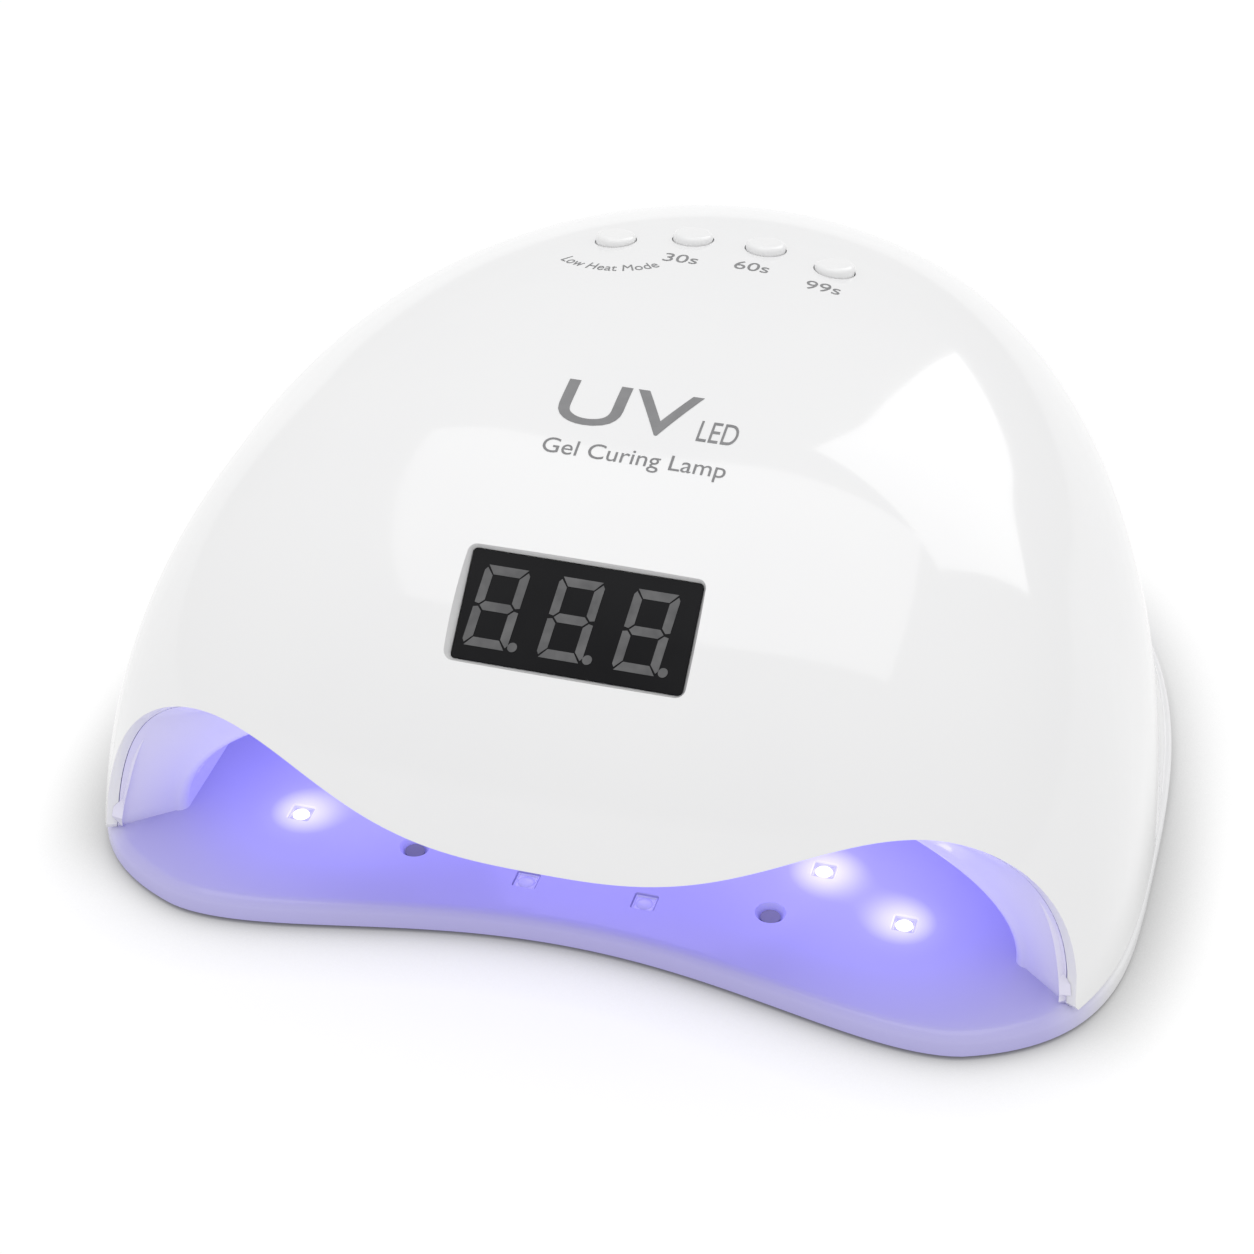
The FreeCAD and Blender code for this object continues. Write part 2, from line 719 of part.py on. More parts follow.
# ---------------------------------------------------------------- display
display_place = Placement(display_origin() - DISPLAY_AXIS * size("display_thick"), DISPLAY_TURN)
plate_body("display_module", "sizes.display_wide", "sizes.display_tall", "sizes.display_thick", display_place)


def segment(x, y, long, wide, turn):
    """One bar of a digit: a flat hexagon with pointed ends, centred on (x, y)."""
    half, nose = long / 2, wide / 2
    corners = [
        (-half, 0), (-half + nose, nose), (half - nose, nose),
        (half, 0), (half - nose, -nose), (-half + nose, -nose),
    ]
    c, s = math.cos(turn), math.sin(turn)
    points = [Vector(x + a * c - b * s, y + a * s + b * c, 0) for a, b in corners]
    return points


def make_segments():
    """Seven bars and a point for each of three digits, leaning to the right."""
    lean = math.tan(math.radians(size("digit_slant")))
    wide = size("segment_wide")
    across = size("digit_wide") - wide
    tall = (size("digit_tall") - wide) / 2
    cut = 0.35
    solids = []
    for digit in (-1, 0, 1):
        left = digit * size("digit_pitch") - across / 2 - 0.9
        outlines = [segment(left + across / 2, k * tall, across - cut, wide, 0.0) for k in (-1, 0, 1)]
        for x in (left, left + across):
            for k in (-1, 1):
                outlines.append(segment(x, k * tall / 2, tall - cut, wide, math.pi / 2))
        for outline in outlines:
            leaned = [Vector(p.x + p.y * lean, p.y, 0) for p in outline]
            face = Part.Face(Part.makePolygon(leaned + [leaned[0]]))
            solids.append(face.extrude(Vector(0, 0, 0.12)))
        dot_x = left + across + 2.7 - tall * lean
        solids.append(Part.makeCylinder(1.0, 0.12, Vector(dot_x, -tall, 0)))
    return Part.makeCompound(solids)


feature("display_segments", make_segments(), Placement(display_origin(), DISPLAY_TURN))

# ---------------------------------------------------------------- keys
STEM = "sizes.stem_radius"
PLUNGER_LONG = "sizes.plunger_deep + sizes.plunger_proud"
for name, spot in zip(KEY_NAMES, key_spots()):
    local_x = spot.x
    along = KEY_TURN.inverted().multVec(spot - key_board_origin())
    plunger_top = size("switch_tall") + size("plunger_proud")
    top = along.z + size("key_rise")
    skirt_top = along.z - size("wall") - CAP_UNDER + 1.0
    base = key_board_origin() + KEY_TURN.multVec(Vector(along.x, along.y, 0))
    cap_low = base + KEY_AXIS * plunger_top
    long = top - plunger_top
    sheet.set(f"D{len(nodes)}", str(long))
    sheet.setAlias(f"D{len(nodes)}", f"cap_{name}_long")
    sheet.set(f"E{len(nodes)}", str(skirt_top - plunger_top))
    sheet.setAlias(f"E{len(nodes)}", f"cap_{name}_collar")
    doc.recompute()
    collar, reach = f"sizes.cap_{name}_collar", f"sizes.cap_{name}_long"
    turned_body(
        f"key_{name}",
        [
            ("0", "0"), (STEM, "0"), (STEM, f"{collar} - 1"),
            ("sizes.key_radius + 1", f"{collar} - 1"), ("sizes.key_radius + 1", collar),
            ("sizes.key_radius", collar), ("sizes.key_radius", reach), ("0", reach),
        ],
        Placement(cap_low, KEY_TURN),
        rounded=(long, "sizes.key_rise * 0.8"),
    )
    turned_body(
        f"plunger_{name}",
        [
            ("0", "0"), ("sizes.plunger_radius", "0"),
            ("sizes.plunger_radius", PLUNGER_LONG), ("0", PLUNGER_LONG),
        ],
        Placement(cap_low - KEY_AXIS * (size("plunger_deep") + size("plunger_proud")), KEY_TURN),
    )
    switch = doc.addObject("PartDesign::Body", f"switch_{name}")
    case = new_sketch(switch, f"switch_{name}_case")
    draw_outline(case, rectangle("sizes.switch_side", "sizes.switch_side"))
    pad = switch.newObject("PartDesign::Pad", f"switch_{name}_pad")
    pad.Profile = case
    pad.setExpression("Length", "sizes.switch_tall")
    doc.recompute()
    bore = new_sketch(switch, f"switch_{name}_bore")
    bore.setExpression("AttachmentOffset.Base.z", "sizes.switch_tall")
    draw_circle(bore, "sizes.plunger_radius + sizes.plunger_fit")
    pocket = switch.newObject("PartDesign::Pocket", f"switch_{name}_pocket")
    pocket.Profile = bore
    pocket.setExpression("Length", "sizes.plunger_deep + sizes.key_travel + 0.2")
    switch.Placement = Placement(base, KEY_TURN)
    keep(switch, f"switch_{name}")

key_board_place = Placement(key_board_origin() - KEY_AXIS * 1.6, KEY_TURN)
plate_body("key_board", "sizes.key_pitch * 3 + 14", "22", "1.6", key_board_place)

# ---------------------------------------------------------------- light boards
def bead(origin, turn, tall):
    """One light source: a square package under a round lens."""
    side = size("bead_side")
    package = Part.makeBox(side, side, tall, Vector(-side / 2, -side / 2, 0))
    lens = Part.makeSphere(size("bead_lens") * 1.15, Vector(0, 0, tall - 0.55))
    lens = lens.common(Part.makeBox(side, side, 6, Vector(-side / 2, -side / 2, tall - 0.01)))
    shape = package.fuse(lens)
    shape.Placement = Placement(origin, turn)
    return shape


FLAT = Rotation()
bead_tall = FLOOR - BOARD_TOP - 1.2
feature("floor_beads", Part.makeCompound([bead(Vector(x, y, BOARD_TOP), FLAT, bead_tall) for x, y in floor_bead_spots()]))
board_y = (FLOOR_BEADS[1][1] + FLOOR_BEADS[2][1]) / 2
plate_body(
    "floor_led_board", "sizes.half_width * 1.33", "30", "sizes.board_thick",
    Placement(Vector(0, board_y, BOARD_TOP - size("board_thick")), FLAT),
)
DOWN = Rotation(Vector(1, 0, 0), 180)


def pillar(origin, turn, tall):
    """A chamber bead on its round light guide."""
    radius = size("bead_side") / 2
    stem = Part.makeCylinder(radius, tall)
    lens = Part.makeSphere(radius, Vector(0, 0, tall - 1.2)).common(
        Part.makeBox(9, 9, 9, Vector(-4.5, -4.5, tall - 0.01)))
    shape = stem.fuse(lens)
    shape.Placement = Placement(origin, turn)
    return shape


def chamber_drop(x):
    """Ceiling board's underside down to the liner's inside at x, less a millimetre of proud lens."""
    inside = FLOOR + size("arch_height") * math.sqrt(1 - (x / size("arch_half")) ** 2)
    return CEILING_BOARD_Z - inside


ceiling = [
    pillar(Vector(x, y, CEILING_BOARD_Z), DOWN, chamber_drop(x))
    for x, y in mirrored(CEILING_BEADS) + CEILING_MIDDLE
]
feature("ceiling_beads", Part.makeCompound(ceiling))
plate_body(
    "ceiling_led_board", "66", "96", "sizes.board_thick",
    Placement(Vector(0, -12, CEILING_BOARD_Z), FLAT),
)
plate_body(
    "heat_spreader", "72", "102", "2.0",
    Placement(Vector(0, -12, CEILING_BOARD_Z + size("board_thick")), FLAT),
)
for label, sign in (("left", -1), ("right", 1)):
    origin, turn, normal = side_frame(sign)
    side_board = Part.makeBox(20, 84, size("board_thick"), Vector(-10, -42, 0))
    side_board.Placement = Placement(origin + Vector(0, -20, 0), turn)
    feature(f"{label}_led_board", side_board)
    inward = Rotation(Vector(0, 0, 1), normal * -1)
    feature(
        f"{label}_beads",
        Part.makeCompound([pillar(Vector(origin.x, y, origin.z), inward, 2.6) for y in SIDE_BEADS]),
    )

# ---------------------------------------------------------------- sensors and electronics
for label, (x, y) in zip(("emitter", "receiver"), sorted(sensor_spots())):
    turned_body(
        f"infrared_{label}",
        [
            ("0", "0"), ("sizes.sensor_radius", "0"),
            ("sizes.sensor_radius", "sizes.floor_skin - 1.1"), ("0", "sizes.floor_skin - 1.1"),
        ],
        Placement(Vector(x, y, BOARD_TOP), FLAT),
    )

CONTROL_Z = CEILING_BOARD_Z + 12.0
CONTROL = Placement(Vector(0, -8, CONTROL_Z), FLAT)
standoff_spots = [(sx * 32.0, sy * 22.0) for sx in (-1, 1) for sy in (-1, 1)]
plate_body(
    "control_board", "78", "56", "1.6", CONTROL,
    holes=[(str(x), str(y), "1.6") for x, y in standoff_spots],
)


def make_standoffs():
    """Four pillars between the heat spreader and the control board."""
    low = CEILING_BOARD_Z + size("board_thick") + 2.0
    return Part.makeCompound([
        Part.makeCylinder(2.6, CONTROL_Z - low, Vector(x, y - 8, low)) for x, y in standoff_spots
    ])


feature("board_standoffs", make_standoffs())
plate_body("controller_chip", "10", "6", "1.8", Placement(Vector(-12, -4, CONTROL_Z + 1.6), FLAT))
plate_body("voltage_regulator", "7", "9", "2.4", Placement(Vector(14, -20, CONTROL_Z + 1.6), FLAT))


def make_capacitors():
    """Two upright electrolytic cans."""
    return Part.makeCompound([
        Part.makeCylinder(4.0, 10.0, Vector(x, 8, CONTROL_Z + 1.6)) for x in (12, 24)
    ])


feature("capacitors", make_capacitors())
turned_body(
    "choke_coil",
    [("2", "0"), ("6", "0"), ("6", "5"), ("2", "5")],
    Placement(Vector(-24, 8, CONTROL_Z + 1.6), FLAT),
    rounded=(5.0, "0.8"),
)
turned_body(
    "beeper",
    [("0", "0"), ("6", "0"), ("6", "7"), ("0", "7")],
    Placement(Vector(28, -24, CONTROL_Z + 1.6), FLAT),
)

# ---------------------------------------------------------------- power inlet
jack_turn = Rotation(Vector(1, 0, 0), -90)
face_y = jack_face_y()


def make_jack():
    """Panel socket for a round low-voltage plug: collar, barrel, bore and centre pin."""
    radius = size("jack_radius")
    collar = Part.makeCylinder(radius + 1.8, 1.2, Vector(0, 0, 0))
    barrel = Part.makeCylinder(radius, size("jack_length"), Vector(0, 0, -size("jack_length")))
    bore = Part.makeCylinder(size("plug_bore"), size("plug_depth"), Vector(0, 0, 1.2 - size("plug_depth")))
    pin_long = size("plug_depth") - 1.0
    centre = Part.makeCylinder(1.0, pin_long, Vector(0, 0, 1.2 - size("plug_depth")))
    tabs = [Part.makeBox(2.0, 0.5, 4.0, Vector(x, -0.25, -size("jack_length") - 4.0)) for x in (-3.0, 1.0)]
    return collar.fuse(barrel).cut(bore).fuse([centre] + tabs)


feature("power_inlet", make_jack(), Placement(Vector(0, face_y, JACK_Z), jack_turn))


def make_nut():
    """Hexagonal nut on the inlet's barrel, inside the housing."""
    corners = [Vector(6.4 * math.cos(math.pi * k / 3), 6.4 * math.sin(math.pi * k / 3), 0) for k in range(7)]
    nut = Part.Face(Part.makePolygon(corners)).extrude(Vector(0, 0, -2.5))
    return nut.cut(Part.makeCylinder(size("jack_radius"), 10, Vector(0, 0, -5)))


feature("inlet_nut", make_nut(), Placement(Vector(0, face_y - JACK_WALL, JACK_Z), jack_turn))


def lead(points, radius, widest=8.0):
    """Insulated wire: straight runs joined by arcs, from the first point to the last."""
    edges = []
    start = points[0]
    for before, corner, after in zip(points, points[1:], points[2:]):
        back, ahead = (before - corner).normalize(), (after - corner).normalize()
        turn = math.pi - back.getAngle(ahead)
        run = min((before - corner).Length, (after - corner).Length)
        bend = min(0.45 * run / math.tan(turn / 2), widest)
        cut = bend * math.tan(turn / 2)
        middle = (back + ahead).normalize()
        crown = corner + middle * (bend / math.cos(turn / 2) - bend)
        enter, leave = corner + back * cut, corner + ahead * cut
        edges.append(Part.LineSegment(start, enter).toShape())
        edges.append(Part.Arc(enter, crown, leave).toShape())
        start = leave
    edges.append(Part.LineSegment(start, points[-1]).toShape())
    path = Part.Wire(edges)
    direction = points[1] - points[0]
    ring = Part.Wire([Part.Circle(points[0], direction, radius).toShape()])
    return path.makePipeShell([ring], True, False)


TOUCH = 0.02            # a lead ends this close to what it is soldered to
BOARD_FACE = CONTROL_Z + 1.6 + TOUCH
jack_end = face_y - size("jack_length") - 4.0 - TOUCH
board_back = 20.0 + TOUCH
for label, sign in (("red", -1), ("black", 1)):
    feature(f"inlet_lead_{label}", lead([
        Vector(sign * 2, jack_end, JACK_Z),
        Vector(sign * 2, jack_end - 6, JACK_Z),
        Vector(sign * 6, jack_end - 16, JACK_Z + 34),
        Vector(sign * 8, 38, CONTROL_Z + 0.8),
        Vector(sign * 8, board_back, CONTROL_Z + 0.8),
    ], 0.8, 5.0))

key_leads = []
for i in range(5):
    start = key_board_place.multVec(Vector((i - 2) * 2.0, -7, -TOUCH))
    key_leads.append(lead([
        start, start - KEY_AXIS * 6, Vector(start.x, 16, CONTROL_Z + 9), Vector(start.x, 16, BOARD_FACE),
    ], 0.5))
feature("key_leads", Part.makeCompound(key_leads))

display_leads = []
for i in range(8):
    start = display_place.multVec(Vector((i - 3.5) * 2.0, 2, -TOUCH))
    display_leads.append(lead([
        start, start - DISPLAY_AXIS * 6, Vector(start.x, -32, CONTROL_Z + 9), Vector(start.x, -32, BOARD_FACE),
    ], 0.5))
feature("display_leads", Part.makeCompound(display_leads))

side_leads = []
for sign in (-1, 1):
    origin, turn, normal = side_frame(sign)
    along = Vector(-sign * normal.z, 0, sign * normal.x) * 8
    end = origin + along + normal * (size("board_thick") + TOUCH)
    for y in (-6, -3):
        side_leads.append(lead([
            Vector(sign * 36, y, BOARD_FACE), Vector(sign * 36, y, BOARD_FACE + 6),
            end + normal * 8 + Vector(0, y, 0), end + Vector(0, y, 0),
        ], 0.5, 4.0))
feature("side_led_leads", Part.makeCompound(side_leads))

lead_hole = size("chamber_back") + 12
floor_lead_z = size("foot_gap") + size("cover_thick") + 0.9
floor_leads = []
for sign in (-1, 1):
    x = sign * 1.2
    floor_leads.append(lead([
        Vector(x, board_y + 15 + TOUCH, floor_lead_z),
        Vector(x, lead_hole, floor_lead_z),
        Vector(x, lead_hole, CONTROL_Z - 4),
        Vector(x, 42, CONTROL_Z + 0.8),
        Vector(x, board_back, CONTROL_Z + 0.8),
    ], 0.5, 2.0))
feature("floor_led_leads", Part.makeCompound(floor_leads))


# ---------------------------------------------------------------- checks and files
doc.recompute()
for obj in doc.Objects:
    if "Invalid" in obj.State or "Error" in obj.State:
        raise RuntimeError(f"{obj.Label} failed to build: {obj.State}")
for obj in nodes:
    if obj.Shape.isNull() or not obj.Shape.isValid():
        raise RuntimeError(f"{obj.Label} has no valid shape")
for obj in nodes:
    obj.Shape.exportStep(f"parts/{obj.Label}.step")
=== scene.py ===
"""Looks of a table-top uv curing lamp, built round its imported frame.

The shell, lining, floor and keys are made here as fine meshes in the places that the frame gives.
Lengths in the classes are in millimetres, and every mesh is in metres.
"""

from __future__ import annotations

import logging
import math
from dataclasses import dataclass, field
from enum import Enum
from typing import Sequence

import bmesh
import bpy
from mathutils import Matrix, Vector
from mathutils.bvhtree import BVHTree


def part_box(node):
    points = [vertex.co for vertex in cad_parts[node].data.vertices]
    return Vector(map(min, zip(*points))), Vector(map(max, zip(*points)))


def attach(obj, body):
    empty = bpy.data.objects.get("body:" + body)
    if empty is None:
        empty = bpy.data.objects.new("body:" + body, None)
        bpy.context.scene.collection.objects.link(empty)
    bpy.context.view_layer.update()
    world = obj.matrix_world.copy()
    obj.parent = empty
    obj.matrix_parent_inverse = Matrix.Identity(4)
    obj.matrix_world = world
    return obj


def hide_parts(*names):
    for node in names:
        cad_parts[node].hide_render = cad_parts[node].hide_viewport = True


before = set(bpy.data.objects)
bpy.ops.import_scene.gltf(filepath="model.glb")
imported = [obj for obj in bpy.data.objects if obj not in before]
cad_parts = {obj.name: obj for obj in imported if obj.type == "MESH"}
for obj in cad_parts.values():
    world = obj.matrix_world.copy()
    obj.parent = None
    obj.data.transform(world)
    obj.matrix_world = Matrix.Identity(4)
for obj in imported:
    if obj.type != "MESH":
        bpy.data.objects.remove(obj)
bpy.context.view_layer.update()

MM = 0.001
LOG = logging.getLogger("lamp")
Ring = list[Vector]
Colour = tuple[float, float, float]
SIDES = (("left", -1), ("right", 1))


# ------------------------------------------------------------------ finishes
class Sheet:
    """Node tree of one material, with short calls to add and join its nodes."""

    def __init__(self, name: str) -> None:
        """Starts a material that holds one Principled shader.

        Args:
            name: the material's name.
        """
        self.material = bpy.data.materials.new(f"{name}_finish")
        self.material.use_nodes = True
        self.tree = self.material.node_tree
        self.shader = self.tree.nodes["Principled BSDF"]
        self.place = self.add("ShaderNodeTexCoord").outputs["Object"]

    def add(self, kind: str, **values: object) -> bpy.types.Node:
        """Adds a node and sets its properties.

        Args:
            kind: the node's type name.
            values: properties of the node, by name.

        Returns:
            The new node.
        """
        node = self.tree.nodes.new(kind)
        for key, value in values.items():
            setattr(node, key, value)
        return node

    def join(self, source: bpy.types.NodeSocket, target: bpy.types.NodeSocket) -> None:
        """Links one socket to another."""
        self.tree.links.new(source, target)

    def noise(self, scale: float, detail: float = 3.0) -> bpy.types.NodeSocket:
        """Noise on the piece's own coordinates.

        Args:
            scale: repeats in a metre.
            detail: octaves.

        Returns:
            The noise's factor socket.
        """
        node = self.add("ShaderNodeTexNoise")
        node.inputs["Scale"].default_value = scale
        node.inputs["Detail"].default_value = detail
        self.join(self.place, node.inputs["Vector"])
        return node.outputs["Fac"]

    def span(self, source: bpy.types.NodeSocket, old: Sequence[float], new: Sequence[float]) -> bpy.types.NodeSocket:
        """Maps a value from one range to another, smoothly and clamped.

        Args:
            source: the value.
            old: the range it comes in.
            new: the range it goes to.

        Returns:
            The mapped value's socket.
        """
        node = self.add("ShaderNodeMapRange", interpolation_type="SMOOTHSTEP")
        numbers = {"From Min": old[0], "From Max": old[1], "To Min": new[0], "To Max": new[1]}
        for key, value in numbers.items():
            node.inputs[key].default_value = value
        self.join(source, node.inputs["Value"])
        return node.outputs["Result"]

    def ramp(self, source: bpy.types.NodeSocket, stops: Sequence[tuple[float, Colour]]) -> bpy.types.NodeSocket:
        """Colour ramp over a value.

        Args:
            source: the value that picks the colour.
            stops: pairs of place and colour.

        Returns:
            The colour's socket.
        """
        node = self.add("ShaderNodeValToRGB")
        marks = node.color_ramp.elements
        while len(marks) < len(stops):
            marks.new(0.5)
        for mark, (place, colour) in zip(marks, stops):
            mark.position = place
            mark.color = (*colour, 1.0)
        self.join(source, node.inputs["Fac"])
        return node.outputs["Color"]

    def paint(self, source: bpy.types.NodeSocket, shade: Colour, colour: Colour) -> None:
        """Colours the shader between two tones.

        Args:
            source: the value that picks the tone.
            shade: the tone of low values.
            colour: the tone of high values.
        """
        self.join(self.ramp(source, [(0.3, shade), (0.7, colour)]), self.shader.inputs["Base Color"])

    def rough(self, source: bpy.types.NodeSocket, low: float, high: float) -> None:
        """Varies the shader's roughness between two values.

        Args:
            source: the value that picks the roughness.
            low: the roughness of low values.
            high: the roughness of high values.
        """
        self.join(self.span(source, (0.3, 0.7), (low, high)), self.shader.inputs["Roughness"])

    def combine(self, kind: str, first: bpy.types.NodeSocket, second: object) -> bpy.types.NodeSocket:
        """Math on one value and another value or number.

        Args:
            kind: the operation's name.
            first: the first value's socket.
            second: a socket or a number.

        Returns:
            The result's socket.
        """
        node = self.add("ShaderNodeMath", operation=kind)
        self.join(first, node.inputs[0])
        if isinstance(second, (int, float)):
            node.inputs[1].default_value = second
        else:
            self.join(second, node.inputs[1])
        return node.outputs[0]

    def relief(self, strength: float, depth: float, *heights: bpy.types.NodeSocket) -> None:
        """Bump from the sum of some heights.

        Args:
            strength: how strong the bump is.
            depth: its height in metres.
            heights: height sockets.
        """
        total = heights[0]
        for extra in heights[1:]:
            total = self.combine("ADD", total, extra)
        bump = self.add("ShaderNodeBump")
        bump.inputs["Strength"].default_value = strength
        bump.inputs["Distance"].default_value = depth
        self.join(total, bump.inputs["Height"])
        self.join(bump.outputs["Normal"], self.shader.inputs["Normal"])


@dataclass(frozen=True)
class Moulding:
    """Moulded plastic: faint flow marks in its colour, a fine skin and uneven gloss."""

    name: str
    colour: Colour
    shade: Colour
    roughness: float = 0.2
    spread: float = 0.06
    coat: float = 0.0
    gloss: float = 0.5
    grain: float = 1400.0
    depth: float = 0.000004
    flow: float = 22.0

    def make(self) -> bpy.types.Material:
        """Builds the material.

        Returns:
            The material.
        """
        sheet = Sheet(self.name)
        shader = sheet.shader
        sheet.paint(sheet.noise(self.flow, 2.0), self.shade, self.colour)
        worn = sheet.noise(self.flow * 6, 4.0)
        sheet.rough(worn, self.roughness - self.spread / 2, self.roughness + self.spread / 2)
        shader.inputs["Specular IOR Level"].default_value = self.gloss
        shader.inputs["Coat Weight"].default_value = self.coat
        shader.inputs["Coat Roughness"].default_value = 0.04
        sheet.relief(0.4, self.depth, sheet.noise(self.grain, 1.0))
        return sheet.material


@dataclass(frozen=True)
class Metal:
    """Drawn or plated metal, with fine lines along one axis."""

    name: str
    colour: Colour
    shade: Colour
    roughness: float = 0.3
    lines: Colour = (900.0, 60.0, 60.0)

    def make(self) -> bpy.types.Material:
        """Builds the material.

        Returns:
            The material.
        """
        sheet = Sheet(self.name)
        sheet.shader.inputs["Metallic"].default_value = 1.0
        stretch = sheet.add("ShaderNodeMapping")
        stretch.inputs["Scale"].default_value = self.lines
        sheet.join(sheet.place, stretch.inputs["Vector"])
        sheet.place = stretch.outputs["Vector"]
        drawn = sheet.noise(1.0, 4.0)
        sheet.paint(drawn, self.shade, self.colour)
        sheet.rough(drawn, self.roughness - 0.06, self.roughness + 0.1)
        sheet.relief(0.2, 0.000003, drawn)
        return sheet.material


# Colours of the painted violet glow, from none to the brightest halo.
PAINTED_GLOW_STOPS = ((0.0, (0.0, 0.0, 0.0)), (0.35, (0.1, 0.09, 0.34)), (0.62, (0.16, 0.15, 0.5)), (1.0, (0.7, 0.68, 0.85)))


@dataclass(frozen=True)
class PaintedLightPlastic:
    """Pale plastic with the chamber's violet light painted on, as a painted violet tint and a painted glow: deep near
    the chamber's heart and pale at the rims.
    """

    name: str
    heart: Colour
    middle: Colour
    rim: Colour
    centre: tuple[float, float, float]
    squeeze: tuple[float, float, float]
    reach: tuple[float, float]
    beads: tuple[tuple[float, float, float], ...] = ()
    halo: float = 13.0
    glow: float = 0.0
    rim_glow: float = 0.0
    pale_side: float = 0.0
    pale_front: tuple[float, float] = (-96.0, -70.0)
    pale_back: tuple[float, float] = (50.0, 65.0)
    pale: Colour = (0.8, 0.8, 0.81)
    roughness: float = 0.16

    def unlit(self, sheet: Sheet) -> bpy.types.NodeSocket:
        """Mask of the rim that the light doesn't reach: its sides and its back.

        Args:
            sheet: the material.

        Returns:
            The mask's socket, 0 where the plastic is lit and 1 where it isn't.
        """
        parts = sheet.add("ShaderNodeSeparateXYZ")
        sheet.join(sheet.place, parts.inputs["Vector"])
        across = sheet.combine("ABSOLUTE", parts.outputs["X"], 0.0)
        aside = sheet.span(across, (self.pale_side * MM, (self.pale_side + 7) * MM), (0.0, 1.0))
        ahead, behind = [
            sheet.span(parts.outputs["Y"], [edge * MM for edge in edges], (0.0, 1.0))
            for edges in (self.pale_front, self.pale_back)
        ]
        return sheet.combine("MAXIMUM", sheet.combine("MULTIPLY", aside, ahead), behind)

    def make(self) -> bpy.types.Material:
        """Builds the material.

        Returns:
            The material.
        """
        sheet = Sheet(self.name)
        shader = sheet.shader
        placed = sheet.add("ShaderNodeMapping", vector_type="TEXTURE")
        placed.inputs["Location"].default_value = [c * MM for c in self.centre]
        placed.inputs["Scale"].default_value = self.squeeze
        sheet.join(sheet.place, placed.inputs["Vector"])
        length = sheet.add("ShaderNodeVectorMath", operation="LENGTH")
        sheet.join(placed.outputs["Vector"], length.inputs[0])
        waver = sheet.combine("MULTIPLY", sheet.noise(30.0, 2.0), 0.006)
        far = sheet.combine("ADD", length.outputs["Value"], waver)
        share = sheet.add("ShaderNodeMapRange")
        share.inputs["From Min"].default_value = self.reach[0] * MM
        share.inputs["From Max"].default_value = self.reach[1] * MM
        sheet.join(far, share.inputs["Value"])
        # Painted violet light: the base colour runs from deep violet at the chamber's heart to pale at the rims.
        stops = [(0.0, self.heart), (0.5, self.middle), (1.0, self.rim)]
        tint = sheet.ramp(share.outputs["Result"], stops)
        dim = None
        # Where the painted violet light doesn't reach, the colour turns to pale and the painted glow is dimmed.
        if self.pale_side:
            unlit = self.unlit(sheet)
            blend = sheet.add("ShaderNodeMix", data_type="RGBA")
            sheet.join(unlit, blend.inputs["Factor"])
            sheet.join(tint, blend.inputs[6])
            blend.inputs[7].default_value = (*self.pale, 1.0)
            tint = blend.outputs[2]
            dim = sheet.span(unlit, (0.0, 1.0), (1.0, 0.0))
        sheet.join(tint, shader.inputs["Base Color"])
        sheet.rough(sheet.noise(120.0, 4.0), self.roughness - 0.03, self.roughness + 0.04)
        # Painted glow: emission from the chamber's heart out to the rims, with painted halos round the lit beads.
        total = sheet.span(share.outputs["Result"], (0.0, 1.0), (self.glow, self.rim_glow))
        for bead in self.beads:
            away = sheet.add("ShaderNodeVectorMath", operation="DISTANCE")
            away.inputs[1].default_value = [c * MM for c in bead]
            sheet.join(sheet.place, away.inputs[0])
            near = sheet.span(away.outputs["Value"], (0.0, self.halo * MM), (0.5, 0.0))
            wide = sheet.span(away.outputs["Value"], (0.0, 2.8 * self.halo * MM), (0.32, 0.0))
            near = sheet.combine("ADD", sheet.combine("POWER", near, 1.2), wide)
            total = sheet.combine("ADD", total, near)
        if dim:
            total = sheet.combine("MULTIPLY", total, dim)
        sheet.join(sheet.ramp(total, PAINTED_GLOW_STOPS), shader.inputs["Emission Color"])
        shader.inputs["Emission Strength"].default_value = 1.0
        sheet.relief(0.3, 0.000004, sheet.noise(1100.0, 1.0))
        return sheet.material


@dataclass(frozen=True)
class Lens:
    """Clear bead, bright at its heart when it is lit."""

    name: str
    colour: Colour
    strength: float

    def make(self) -> bpy.types.Material:
        """Builds the material.

        Returns:
            The material.
        """
        sheet = Sheet(self.name)
        shader = sheet.shader
        cloud = sheet.noise(500.0, 2.0)
        shade = tuple(c * 0.86 for c in self.colour)
        tint = sheet.ramp(cloud, [(0.25, shade), (0.75, self.colour)])
        sheet.join(tint, shader.inputs["Base Color"])
        sheet.join(tint, shader.inputs["Emission Color"])
        shader.inputs["Emission Strength"].default_value = self.strength
        sheet.rough(cloud, 0.04, 0.1)
        shader.inputs["Coat Weight"].default_value = 0.6
        return sheet.material


@dataclass(frozen=True)
class TableTop:
    """Bright table of a light tent: it shines evenly and dims only close to what stands on it."""

    name: str
    albedo: float
    shine: float
    near: float

    def make(self) -> bpy.types.Material:
        """Builds the material.

        Returns:
            The material.
        """
        sheet = Sheet(self.name)
        shader = sheet.shader
        sheet.paint(sheet.noise(3.0), (self.albedo * 0.98,) * 3, (self.albedo,) * 3)
        shader.inputs["Roughness"].default_value = 0.6
        shader.inputs["Specular IOR Level"].default_value = 0.1
        shader.inputs["Emission Color"].default_value = (1.0, 1.0, 1.0, 1.0)
        shade = sheet.add("ShaderNodeAmbientOcclusion", samples=8)
        shade.inputs["Distance"].default_value = self.near
        strength = sheet.combine("MULTIPLY", sheet.combine("POWER", shade.outputs["AO"], 1.3), self.shine)
        sheet.join(strength, shader.inputs["Emission Strength"])
        return sheet.material


LIT_BEADS = tuple((sign * x, y, 6.8) for x, y in ((69.0, -70.3), (48.5, -57.7)) for sign in (-1, 1))


